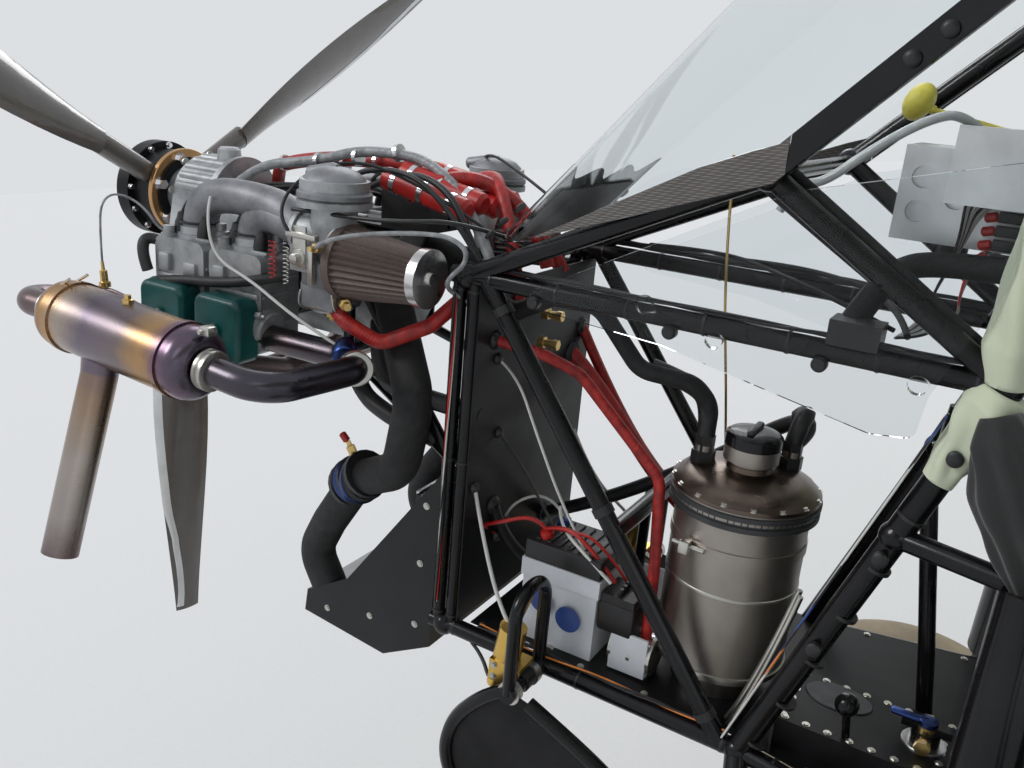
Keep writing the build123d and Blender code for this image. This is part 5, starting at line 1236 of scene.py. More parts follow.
@dataclass
class PropellerDetail(SubAssembly):
    """Bolts, copper toned flange and edge strips of the propeller."""

    body: str = "propeller"
    hub_z: float = 69.0
    hub_y: float = -787.0
    radius: float = 940.0

    def build(self) -> Iterable[Piece]:
        """Make the pieces.

        Returns:
            The pieces.
        """
        bolts = ring_of_bolts((0, -840, self.hub_z), 70, 6, (0, -1, 0), 0.5)
        bolts += ring_of_bolts((0, -840, self.hub_z), 34, 6, (0, -1, 0))
        yield self.bolts("hub bolts", bolts, 6.5, 7, look=Look.CHROME)
        rear = ring_of_bolts((0, -809.5, self.hub_z), 81, 12, (0, 1, 0), 0.1)
        yield self.bolts("rear hub bolts", rear, 4.5, 6, look=Look.CHROME)
        plate_bolts = ring_of_bolts((0, -753.5, self.hub_z), 62, 6, (0, 1, 0), 0.3)
        yield self.bolts("flange bolts", plate_bolts, 9, 10, look=Look.CHROME)
        plate = [(0, 40), (0, 79), (1, 80), (9, 80), (10, 79), (10, 40)]
        yield self.turned(
            "flange plate", (0, -764, self.hub_z), (0, -740, self.hub_z), plate, Look.COPPER, 48)
        cap = [(-6, 0.5), (-6, 18), (-4, 26), (0, 28), (2, 28)]
        yield self.turned("hub cap", (0, -841, self.hub_z), (0, -800, self.hub_z), cap, Look.COPPER, 40)
        yield self.strips()

    def strips(self) -> Piece:
        """Grey guard strip wrapped over the outer leading edge of each blade.

        Returns:
            The piece.
        """
        sections = ((0.38, 30), (0.70, 18), (0.97, 12))
        blades, shape = skin("propeller_blades"), bmesh.new()
        for count in range(3):
            turn = radians(180 + 120 * count)
            outward = STANCE.turn(sin(turn), 0, cos(turn))
            sideways = STANCE.turn(cos(turn), 0, -sin(turn))
            rows = []
            for step in range(19):
                at = 0.42 + 0.03 * step
                first, second = sections[:2] if at < 0.70 else sections[1:]
                pitch = radians(first[1] + (second[1] - first[1]) * (at - first[0]) / (second[0] - first[0]))
                flat = sideways * cos(pitch) + STANCE.turn(0, 1, 0) * sin(pitch)
                across = outward.cross(flat).normalized()
                middle = level((0, self.hub_y, self.hub_z)) + outward * at * self.radius / 1000
                edge = blades.ray_cast(middle - flat * 0.2, flat)[0]
                if edge is None or (edge - middle).length > 0.08:
                    continue
                row = [edge - flat * 0.0008]
                for lift, marks in ((1, (0.003, 0.009, 0.015)), (-1, (0.015, 0.009, 0.003))):
                    for mark in marks:
                        hit = blades.ray_cast(edge + flat * mark + across * lift * 0.05, -across * lift)[0]
                        row.append((hit or edge + flat * mark) + across * lift * 0.0009)
                rows.append(row)
            if len(rows) > 1:
                add_rows(shape, rows)
        return self.piece(shape, "blade edge strips", Look.SHEET_ALLOY)


@dataclass
class FabricTapes(SubAssembly):
    """Tapes doped over the ribs of a wing or a tail surface."""

    node: str = "wing_left"
    stations: Sequence[float] = ()
    front: float = 566.0
    rear: float = 1560.0
    middle_z: float = 760.0
    width: float = 46.0

    def build(self) -> Iterable[Piece]:
        """Make one strip over and one under each rib.

        Returns:
            The pieces.
        """
        surface, shape = skin(self.node), bmesh.new()
        up = STANCE.turn(0, 0, 1)
        for x in self.stations:
            for lift in (1, -1):
                rows = []
                for step in range(25):
                    share = step / 24
                    y = self.front + (self.rear - self.front) * share ** 1.4
                    hits = [
                        surface.ray_cast(level((x + aside, y, self.middle_z + lift * 400)), -up * lift)[0]
                        for aside in (-self.width / 2, self.width / 2)]
                    if None in hits:
                        continue
                    rows.append([hits[0] - up * lift * 0.001, hits[0] + up * lift * 0.0009,
                                 hits[1] + up * lift * 0.0009, hits[1] - up * lift * 0.001])
                if len(rows) > 1:
                    add_rows(shape, rows)
        yield self.piece(shape, f"{self.node} tapes", Look.TAPE, 60)


@dataclass
class EngineDetail(SubAssembly):
    """Bolts, plugs, leads, levers and springs of the engine."""

    gear_z: float = 69.0
    port_y: tuple[float, float] = (-369.0, -489.0)
    starboard_y: tuple[float, float] = (-399.0, -519.0)
    carburettor: tuple[float, float] = (216, -205)
    arm_reach: float = 50

    def cylinders(self) -> list[tuple[int, float]]:
        """Side and station of each cylinder."""
        return [(1, y) for y in self.port_y] + [(-1, y) for y in self.starboard_y]

    def build(self) -> Iterable[Piece]:
        """Make the pieces.

        Returns:
            The pieces.
        """
        yield self.case_bolts()
        yield self.cover_bolts()
        yield from self.ignition()
        yield from self.carburettors()
        yield from self.hoses()
        yield from self.elbows()
        yield from self.boxes()
        yield self.heads()
        yield self.ribs()

    def case_bolts(self) -> Piece:
        """Bolts of the gearbox, the case and the rear housing.

        Returns:
            The piece.
        """
        bolts = ring_of_bolts((0, -705.5, self.gear_z), 76, 8, (0, -1, 0), 0.2)
        bolts += ring_of_bolts((0, -705.5, -10), 80, 8, (0, -1, 0), 0.6)
        bolts += ring_of_bolts((0, -232, -10), 84, 10, (0, 1, 0))
        bolts += [Bolt((x, y, 85.5), (0, 0, 1)) for x in (-60, 60) for y in (-570, -470, -380, -310)]
        bolts += [Bolt((side * 169, y + dy, dz), (side, 0, 0)) for side, y in self.cylinders()
                  for dy, dz in ((-46, 30), (46, 30), (-46, -60), (46, -60))]
        return self.bolts("engine bolts", bolts, 4.6, 5)

    def cover_bolts(self) -> Piece:
        """Cap screws at the middle of the rocker covers."""
        bolts = [Bolt((side * 293, y, -67), (side, 0, 0)) for side, y in self.cylinders()]
        return self.bolts("cover bolts", bolts, 7, 5)

    def ignition(self) -> Iterable[Piece]:
        """Plug caps and leads from the heads to the modules.

        Returns:
            The pieces.
        """
        shape = bmesh.new()
        routes = []
        for number, (side, y) in enumerate(self.cylinders()):
            for shift in (-26, 26):
                foot, top = on_side(side, (222, y + shift, 44), (216, y + shift, 84))
                add_turned(shape, foot, top, [(0, 10), (4, 11), (24, 10), (30, 8), (38, 7), (40, 4)], 18)
                routes.append(Route(on_side(
                    side, (216, y + shift, 80), (214, y + shift + 6, 100),
                    (196 - 10 * (number % 2), y + shift + 30, 118 + 6 * (number % 3)),
                    (120, y + shift * 0.5 + 120, 134 + 5 * number), (60, -262 + 8 * number, 140),
                    (36, -246, 122 + 4 * number)), 3.6, Look.SMOOTH_HOSE))
        yield self.piece(shape, "plug caps", Look.BLACK)
        yield self.wires("ignition leads", routes)

    def carburettors(self) -> Iterable[Piece]:
        """Dome screws, levers, springs, bowls and fittings of both carburettors.

        Returns:
            The pieces.
        """
        zinc, brass, black = bmesh.new(), bmesh.new(), bmesh.new()
        screws, routes = [], []
        x, y = self.carburettor
        arm = x + self.arm_reach
        dome = [(0, 50), (3, 53), (9, 53), (12, 49.5), (20, 47.5), (30, 42), (38, 33), (43, 20), (45, 8),
                (45.2, 1)]
        for side in SIDES:
            centre = side * x
            screws += [
                Bolt((centre + 46 * cos(a), y + 46 * sin(a), 143), (0, 0, 1)) for a in (0.8, 2.4, 3.9, 5.5)]
            add_turned(black, (centre, y, 144), (centre, y, 190), dome, 48)
            add_turned(black, *on_side(side, (x - 10, y - 56, 172), (x - 2, y + 8, 186)), [
                (0, 8), (4, 11), (50, 11), (62, 7)], 18)
            add_block(black, (centre - 34, y - 34, -12), (centre + 34, y + 30, 30), 7)
            add_block(black, *on_side(side, (x + 22, y - 20, 24), (x + 46, y + 24, 60)), 5)
            add_block(zinc, *on_side(side, (arm, y - 28, 50), (arm + 4, y - 4, 108)), 1.2)
            add_block(zinc, *on_side(side, (arm, y - 36, 92), (arm + 10, y + 18, 100)), 1.5)
            add_block(zinc, *on_side(side, (arm - 2, y + 2, 30), (arm + 6, y + 10, 78)), 1.2)
            add_turned(zinc, *on_side(side, (arm - 6, y - 16, 64), (arm + 16, y - 16, 64)), [
                (0, 11), (6, 12), (12, 12), (13, 7), (22, 7), (23, 5)], 20)
            add_turned(brass, *on_side(side, (arm + 4, y + 20, 84), (arm + 20, y + 20, 84)), [
                (0, 7), (8, 7), (9, 4), (18, 4)], 6)
            add_turned(brass, (centre, y, -16), (centre, y, -32), [(0, 12), (9, 12), (10, 7), (15, 6)], 6)
            add_turned(zinc, (centre, y, 0), (centre, y, -14), [(0, 29), (3, 34), (9, 34), (13, 29)], 32)
            add_turned(brass, *on_side(side, (x + 20, y + 38, 4), (x + 32, y + 54, 4)), [
                (0, 9), (12, 9), (13, 6), (24, 6)], 6)
            routes.append(Route(on_side(
                side, (x + 34, y - 30, 14), (x + 40, y - 34, -10), (x, y - 36, -22), (x, y + 30, -22),
                (x + 38, y + 32, -6), (x + 34, y + 28, 16)), 1.6, Look.STEEL))
            for behind, low, look, turns, wide in ((34, 26, Look.STEEL, 9, 4.0), (60, 30, Look.RED, 8, 5.0)):
                angles = [step * 0.785 for step in range(8 * turns + 1)]
                routes.append(Route([(
                    side * (arm + 10) + wide * cos(angle), y - behind + wide * sin(angle),
                    low + step * 52 / (8 * turns)) for step, angle in enumerate(angles)], 0.9, look))
            routes += [
                Route(on_side(side, (arm + 8, y - 32, 100), (arm + 12, y - 60, 130), (x - 10, y - 30, 196),
                              (x - 70, y + 70, 190), (120, 60, 90)), 2.6, Look.BLACK),
                Route(on_side(side, (arm + 12, y + 20, 84), (arm + 30, y + 60, 110), (x + 20, y + 190, 128),
                              (x + 22, y + 236, 118), (x + 20, y + 240, 96), (x + 14, y + 205, 66),
                              (190, -20, 40), (160, 6, 20)), 3.4, Look.GREY_HOSE)]
        yield self.bolts("carburettor screws", screws, 3.2, 4)
        yield self.piece(zinc, "carburettor levers", Look.STEEL)
        yield self.piece(brass, "carburettor fittings", Look.BRASS)
        yield self.piece(black, "carburettor domes", Look.DOME)
        yield self.wires("carburettor wires and springs", routes, 1)

    def hoses(self) -> Iterable[Piece]:
        """Coolant pipes, arch hoses and red lines on top of the engine.

        Returns:
            The pieces.
        """
        routes = []
        for side, y in self.cylinders():
            routes.append(Route(on_side(side, (120, y + 4, 50), (118, y + 6, 96), (96, y + 40, 116),
                                        (40, -420, 118), (14, -400, 104)), 7.0, Look.SMOOTH_HOSE))
        routes += [
            Route([(60, -590, 86), (66, -520, 150), (60, -372, 172), (60, -300, 196), (60, -214, 202),
                   (60, -150, 194), (90, -60, 150), (120, 10, 60)], 8.0, Look.GREY_HOSE),
            Route([(-80, -600, 60), (-50, -570, 130), (0, -505, 152), (0, -404, 172), (-10, -300, 178),
                   (-40, -180, 176), (-60, -40, 130), (-70, 20, 40)], 12.0, Look.SLEEVE),
            Route([(110, -160, 146), (70, -120, 180), (30, -60, 176), (10, 10, 120), (4, 30, 60)], 11.0,
                   Look.SLEEVE),
            Route([(-30, -150, 160), (0, -80, 186), (40, -40, 170), (70, 6, 96), (76, 26, 20)], 10.0,
                   Look.SLEEVE),
            Route([(90, -240, 150), (120, -160, 186), (150, -60, 176), (160, -10, 110), (150, 26, 40)], 5.0,
                   Look.SMOOTH_HOSE),
            Route([(80, -340, 120), (130, -260, 170), (170, -120, 196), (170, -40, 150), (160, 10, 80)], 4.0,
                   Look.SMOOTH_HOSE),
            Route([(236, -430, 118), (258, -416, 96), (262, -397, 34), (262, -318, 12), (262, -259, -15),
                   (256, -214, -36), (240, -176, -58)], 2.4, Look.PALE_WIRE),
            Route([(240, -560, -34), (262, -535, -26), (264, -459, -10), (264, -401, -4), (262, -325, 10),
                   (230, -290, 20)], 8.0, Look.SMOOTH_HOSE),
            Route([
                (232, -530, 30), (248, -560, 44), (262, -560, 20), (262, -545, -10)], 9.0, Look.SMOOTH_HOSE),
            Route([(240, -262, 124), (242, -189, 126), (240, -75, 132), (200, 0, 142), (120, 60, 110)], 3.0,
                   Look.BLACK)]
        yield self.wires("engine hoses", routes)
        clamps = [[(60, -372, 172), (60, -214, 202)], [(0, -505, 152), (0, -300, 177)]]
        yield bands("hose bands", clamps, 62, 13.6, 7, Look.CHROME)

    def elbows(self) -> Iterable[Piece]:
        """Fat cast intake elbows from both heads of a side to its carburettor, with flanges and ties.

        Returns:
            The pieces.
        """
        routes, lines = [], []
        flanges = bmesh.new()
        for side, stations in ((1, self.port_y), (-1, self.starboard_y)):
            rear, front = stations
            routes += [
                Route(on_side(side, (205, front, 40), (205, front, 92), (206, front + 48, 122),
                              (210, -310, 118), (214, -272, 96), (216, -250, 89)), 27, Look.DOME),
                Route(on_side(side, (205, rear, 40), (205, rear, 84), (208, rear + 34, 108), (214, -290, 98),
                              (216, -250, 89)), 28, Look.DOME)]
            for y in stations:
                add_turned(flanges, (side * 205, y, 44), (side * 205, y, 80),
                           [(0, 33), (1, 34), (9, 34), (10, 30), (20, 29)], 32)
                lines.append([(side * 205, y, 70), (side * 205, y, 78)])
            add_turned(flanges, (side * 216, -262, 89), (side * 216, -240, 89),
                       [(0, 31), (1, 35), (8, 35), (9, 31), (20, 31)], 32)
        piece = pipes("intake elbows", routes, 6)
        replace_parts(self.ride(piece), "intake_manifolds")
        yield piece
        yield self.piece(flanges, "intake flanges", Look.ALLOY)
        yield bands("elbow ties", lines, 12, 30.5, 4, Look.BLACK)

    def boxes(self) -> Iterable[Piece]:
        """Red cylinders with bright bands above the rear of the engine.

        Returns:
            The pieces.
        """
        red, bright = bmesh.new(), bmesh.new()
        for x, drop in ((112, 6), (70, 0), (28, 8), (-20, 4)):
            foot, end = (x, -196, 176 - drop), (x + 6, -40, 146 - drop)
            add_turned(red, foot, end, [(0, 12), (2, 17), (150, 17), (156, 12)], 24)
            for shift in (18, 70, 122):
                add_turned(bright, between(foot, end, shift / 159), end,
                           [(0, 17.2), (0.5, 18), (9, 18), (9.5, 17.2)], 24)
        yield self.piece(red, "red cylinders", Look.RED)
        yield self.piece(bright, "cylinder bands", Look.CHROME)

    def heads(self) -> Piece:
        """Bosses, ribs, flanges and nuts cast on the cylinder heads.

        Returns:
            The piece.
        """
        shape = bmesh.new()
        for side, y in self.cylinders():
            add_turned(shape, (side * 190, y + 30, 40), (side * 190, y + 30, 74),
                       [(0, 14), (18, 14), (19, 9), (30, 9)], 20)
            add_turned(shape, (side * 236, y - 34, 38), (side * 236, y - 34, 66),
                       [(0, 13), (12, 13), (13, 9), (24, 9)], 20)
            add_turned(shape, (side * 228, y + 44, -62), (side * 228, y + 76, -70),
                       [(0, 30), (8, 30), (9, 26), (14, 25)], 28)
            for x, z in ((254, -40), (214, -88)):
                add_turned(shape, (side * x, y + 52, z), (side * x, y + 70, z),
                           [(0, 6), (9, 6), (10, 3), (16, 3)], 6)
            for step in range(5):
                z = -84 + 22 * step
                add_block(shape, (side * 172, y - 56.5, z), (side * 244, y - 53, z + 5), 1)
                add_block(shape, (side * 172, y + 53, z), (side * 244, y + 56.5, z + 5), 1)
            for step in range(3):
                x = side * (186 + 22 * step)
                add_block(shape, (x - 3, y - 50, 45), (x + 3, y + 50, 50), 1)
            add_block(shape, (side * 240, y - 50, -20), (side * 252, y + 50, -10), 3)
            add_block(shape, (side * 240, y - 40, -6), (side * 256, y - 16, 22), 4)
            add_block(shape, (side * 240, y + 12, -8), (side * 254, y + 40, 14), 4)
        return self.piece(shape, "head castings", Look.ALLOY)

    def ribs(self) -> Piece:
        """Ribs and bosses cast on the gearbox and the case.

        Returns:
            The piece.
        """
        shape = bmesh.new()
        for step in range(10):
            angle = radians(20 + 16 * step)
            c, s = cos(angle), sin(angle)
            add_turned(shape, (70 * c, -700, self.gear_z + 70 * s), (70 * c, -606, self.gear_z + 70 * s), [
                (0, 7), (2, 8.5), (84, 8.5), (88, 7)], 12)
        for x in (-70, -25, 25, 70):
            add_block(shape, (x - 4, -590, 80), (x + 4, -300, 93), 2)
        for y in (-560, -440, -340):
            add_block(shape, (-88, y - 4, 80), (88, y + 4, 95), 2)
        add_turned(
            shape, (0, -640, 130), (0, -640, 168), [(0, 30), (10, 30), (11, 22), (30, 20), (34, 16)], 28)
        return self.piece(shape, "case ribs", Look.ALLOY)


@dataclass
class ExhaustDetail(SubAssembly):
    """Clamps, probes and their wires on the exhaust."""

    def build(self) -> Iterable[Piece]:
        """Make the pieces.

        Returns:
            The pieces.
        """
        shape = bmesh.new()
        ring = [(0, 24), (1, 27), (5, 27), (6, 24.5), (10, 24.5), (11, 27), (15, 27), (16, 24)]
        add_turned(shape, (449, -208, -54), (447, -110, -62), ring, 40)
        add_turned(shape, (437, -520, -41), (437, -612, -40), ring, 40)
        add_turned(shape, (290, -95, -66), (235, -160, -75), [(0, 22), (2, 24), (16, 24), (18, 22)], 32)
        add_block(shape, (442, -213, -10), (456, -196, 2), 2)
        add_turned(shape, (440, -206, -4), (462, -206, -4), [(0, 3), (22, 3)], 10)
        yield self.piece(shape, "exhaust clamps", Look.STEEL)
        blue = bmesh.new()
        add_turned(blue, (262, -140, -66), (222, -172, -52),
                   [(0, 17), (3, 19), (20, 19), (21, 15), (36, 14), (38, 11)], 24)
        yield self.piece(blue, "blued fitting", Look.BLUE_ALLOY)
        probe = bmesh.new()
        add_turned(probe, (300, -600, -42), (300, -604, -6),
                   [(0, 9), (8, 9), (9, 6), (26, 6), (27, 3), (40, 2.5)], 12)
        add_turned(probe, (444, -360, -2), (444, -360, 14), [(0, 8), (8, 8), (9, 5), (14, 5)], 6)
        yield self.piece(probe, "exhaust probes", Look.BRASS)
        routes = [Route([(300, -604, -10), (300, -606, 40), (296, -606, 92), (270, -600, 106),
                         (236, -580, 84), (220, -560, 40), (196, -540, 40)], 1.8, Look.GREY_HOSE)]
        routes += [Route([(437 + side * 12, -523, -40 + dz), (437 + side * 14, -470, -40 + dz * 2.1)], 2.2,
                          Look.STEEL) for side, dz in ((1, 26), (-1, 27))]
        yield self.wires("probe wires", routes)


@dataclass
class PlumbingDetail(SubAssembly):
    """Clamps and fittings of the coolant, oil and fuel lines."""

    def build(self) -> Iterable[Piece]:
        """Make the pieces.

        Returns:
            The pieces.
        """
        lines = [[(side * 172, -165, -280), (side * 158, -207, -314)] for side in SIDES]
        yield bands("coolant clamps", lines, 24, 38.5, 9, Look.BLACK)
        block = bmesh.new()
        for side in SIDES:
            add_turned(block, (side * 168, -176, -294), (side * 161, -197, -302), [
                (0, 37), (1, 39), (6, 39), (8, 37.6), (18, 37.6), (20, 39), (24, 39), (25, 37)], 40)
        yield self.piece(block, "hose joiners", Look.BLUE_ALLOY)
        brass, red = bmesh.new(), bmesh.new()
        for side in SIDES:
            add_turned(brass, (side * 168, -190, -264), (side * 172, -206, -234),
                       [(0, 10), (8, 10), (9, 7), (24, 7), (25, 4), (32, 4)], 6)
            add_turned(red, (side * 172, -206, -236), (side * 176, -220, -218),
                       [(0, 4), (1, 6), (14, 6), (16, 3)], 14)
        for x, z in ((60, 5), (66, -37)):
            add_turned(
                brass, (x, 60, z), (x, 92, z), [(0, 9), (10, 9), (11, 6), (22, 6), (23, 8), (32, 8)], 6)
        yield self.piece(brass, "brass fittings", Look.BRASS)
        yield self.piece(red, "red terminals", Look.RED)
        routes = [
            Route([(10, 392, -420), (-14, 340, -440), (-10, 200, -430), (60, 40, -410), (100, 26, -300)], 9,
                   Look.SMOOTH_HOSE),
            Route([(2, 432, -118), (-30, 450, -96), (-40, 420, -92), (-60, 300, -200), (-70, 120, -330),
                   (-80, 26, -380)], 11, Look.SMOOTH_HOSE),
            Route([(134, 330, 262), (120, 336, 120), (60, 340, -20), (30, 344, -110), (30, 352, -168)], 1.8,
                   Look.BRASS),
            Route([(100, 385, 202), (102, 400, 236), (100, 430, 240), (98, 474, 282), (90, 528, 322),
                   (60, 560, 330), (0, 590, 300)], 5.5, Look.CLEAR_HOSE),
            Route([(120, 24, -60), (124, 60, -74), (140, 110, -150), (140, 170, -260), (124, 262, -400)],
                   2.0, Look.PALE_WIRE),
            Route([(-120, 24, -100), (-130, 70, -140), (-150, 190, -290), (-140, 260, -330),
                   (-60, 330, -350), (0, 380, -340)], 13, Look.SLEEVE),
            Route([(-150, 24, -60), (-168, 80, -170), (-175, 190, -303), (-120, 290, -330)], 9, Look.SLEEVE),
            Route([(110, -255, -112), (160, -200, -150), (180, -120, -170), (165, -40, -190),
                   (150, 10, -210)], 14, Look.SMOOTH_HOSE),
            Route([(60, -240, -60), (150, -170, -120), (190, -90, -120), (170, -20, -130), (150, 20, -140)],
                   14, Look.SMOOTH_HOSE)]
        yield self.wires("fluid lines", routes)
        rubber = bmesh.new()
        for x, z, radius in ((100, -300, 9), (-80, -380, 11), (120, -60, 3), (-120, -100, 13),
                             (-150, -60, 9), (130, -30, 8), (90, 0, 12), (160, -250, 3), (80, -360, 4),
                             (60, -340, 3), (100, -180, 3), (4, 30, 11)):
            add_turned(rubber, (x, 23, z), (x, 40, z), [
                (0, radius + 6), (3, radius + 6), (6, radius + 4), (9, radius + 1)], 24)
        yield self.piece(rubber, "grommets", Look.BLACK)


@dataclass
class TankDetail(SubAssembly):
    """Lid, filler cap, clamp and fittings of the oil tank."""

    x: float = 60.0
    y: float = 392.0

    def build(self) -> Iterable[Piece]:
        """Make the pieces.

        Returns:
            The pieces.
        """
        x, y = self.x, self.y
        lid = [
            (0, 97), (2, 99), (7, 99), (9, 96), (15, 90), (22, 70), (27, 40), (29, 31), (36, 30), (37, 28)]
        yield self.turned("tank lid", (x, y, -172), (x, y, -100), lid, Look.LID, 72)
        cap = [(0, 34), (2, 38), (16, 38), (18, 36), (20, 33), (22, 20), (22, 1)]
        yield self.turned("filler cap", (x, y, -112), (x, y, -60), cap, Look.SCOOP, 48)
        blue, black, steel = bmesh.new(), bmesh.new(), bmesh.new()
        add_block(black, (x - 26, y - 5, -92), (x + 26, y + 5, -84), 3)
        for fx, fy in ((64, 328), (2, 432)):
            add_turned(blue, (fx, fy, -168), (fx, fy, -120), [(0, 16), (12, 16), (13, 13), (16, 13)], 6)
            add_turned(black, (fx, fy, -152), (fx, fy, -110), [(0, 17), (18, 17), (19, 14), (40, 14)], 6)
        clamp = [
            (0, 91), (1, 98), (3, 100.5), (9, 100.5), (10, 98), (16, 98), (17, 101), (23, 101), (24, 98)]
        yield self.turned("tank clamp", (x, y, -197), (x, y, -170), clamp, Look.DARK_ALLOY, 72)
        add_turned(steel, (x, y, -420), (x, y, -300), [(0, 90.4), (1, 92), (5, 92), (6, 90.4)], 72)
        add_turned(steel, (x, y, -300), (x, y, -280), [(0, 90.3), (1, 91.4), (4, 91.4), (5, 90.3)], 72)
        add_block(steel, (x + 84, y - 50, -247), (x + 100, y - 36, -229), 2)
        add_turned(steel, (x + 86, y - 62, -238), (x + 92, y - 20, -238), [(0, 3.2), (46, 3.2)], 10)
        yield self.piece(blue, "tank fittings", Look.BLUE_ALLOY)
        yield self.piece(black, "tank hose ends", Look.BLACK)
        yield self.piece(steel, "tank bands", Look.STEEL)
        screws = [Bolt((x + 94 * cos(a), y + 94 * sin(a), -164.5), (0, 0, 1))
                  for a in (step * pi / 8 for step in range(16))]
        yield self.bolts("tank lid screws", screws, 4.2, 3)
        routes = [
            Route([(64, 328, -116), (66, 328, -70), (58, 300, -48), (70, 240, -34)], 12.5, Look.SMOOTH_HOSE),
            Route([(2, 432, -116), (0, 436, -84), (-22, 440, -74), (-40, 424, -90)], 12.5, Look.SMOOTH_HOSE)]
        yield self.wires("tank elbows", routes)


@dataclass
class ElectricDetail(SubAssembly):
    """Battery lid and leads, relay, pump bracket and engine boxes."""

    def build(self) -> Iterable[Piece]:
        """Make the pieces.

        Returns:
            The pieces.
        """
        blue, red, black, white = bmesh.new(), bmesh.new(), bmesh.new(), bmesh.new()
        add_block(black, (54, 114, -336), (151, 236, -306), 3)
        for step in range(6):
            add_block(black, (62, 126 + 17 * step, -307), (143, 134 + 17 * step, -303), 1)
        add_turned(red, (130, 137, -308), (130, 137, -290), [(0, 10), (12, 10), (14, 7)], 20)
        add_turned(blue, (75, 137, -308), (75, 137, -290), [(0, 10), (12, 10), (14, 7)], 20)
        add_turned(blue, (155.5, 150, -395), (158, 150, -395), [(0, 17), (0.8, 17)], 28)
        add_turned(blue, (155.5, 196, -408), (158, 196, -408), [(0, 20), (0.8, 20)], 28)
        add_block(black, (90, 238, -408), (150, 292, -362), 4)
        for step in range(4):
            add_turned(
                black, (102 + 12 * step, 265, -350), (102 + 12 * step, 265, -340), [(0, 3.5), (10, 3.5)], 12)
        add_block(white, (92, 262, -462), (148, 318, -458), 1)
        add_block(white, (144, 262, -462), (149, 318, -400), 1)
        yield self.piece(blue, "blue plastics", Look.BLUE)
        yield self.piece(red, "red plastics", Look.RED)
        yield self.piece(black, "black boxes", Look.BLACK)
        yield self.piece(white, "pump bracket", Look.WHITE)
        yield bands("pump bands", [[(120, 262, -435.3), (120, 320, -435.3)]], 22, 29.8, 5, Look.STEEL)
        routes = [
            Route([(130, 137, -296), (136, 120, -272), (150, 60, -300), (120, 14, -330), (80, 24, -360)],
                   3.2, Look.RED),
            Route([(130, 137, -292), (140, 170, -272), (146, 216, -290), (128, 250, -340)], 3.2, Look.RED),
            Route([(126, 140, -292), (134, 176, -280), (136, 226, -280), (110, 262, -344)], 2.4, Look.RED),
            Route([(75, 137, -292), (90, 130, -262), (128, 160, -286), (152, 210, -300), (148, 252, -332)],
                   2.6, Look.PALE_WIRE),
            Route([(80, 137, -290), (60, 100, -270), (70, 40, -300), (60, 24, -340)], 2.4, Look.PALE_WIRE),
            Route([(120, 320, -430), (126, 340, -410), (150, 330, -360), (158, 300, -300)], 2.2, Look.BLACK),
            Route([(100, 24, -180), (90, 60, -220), (96, 110, -280), (110, 136, -296)], 2.2, Look.BLACK)]
        yield self.wires("battery leads", routes, 1)


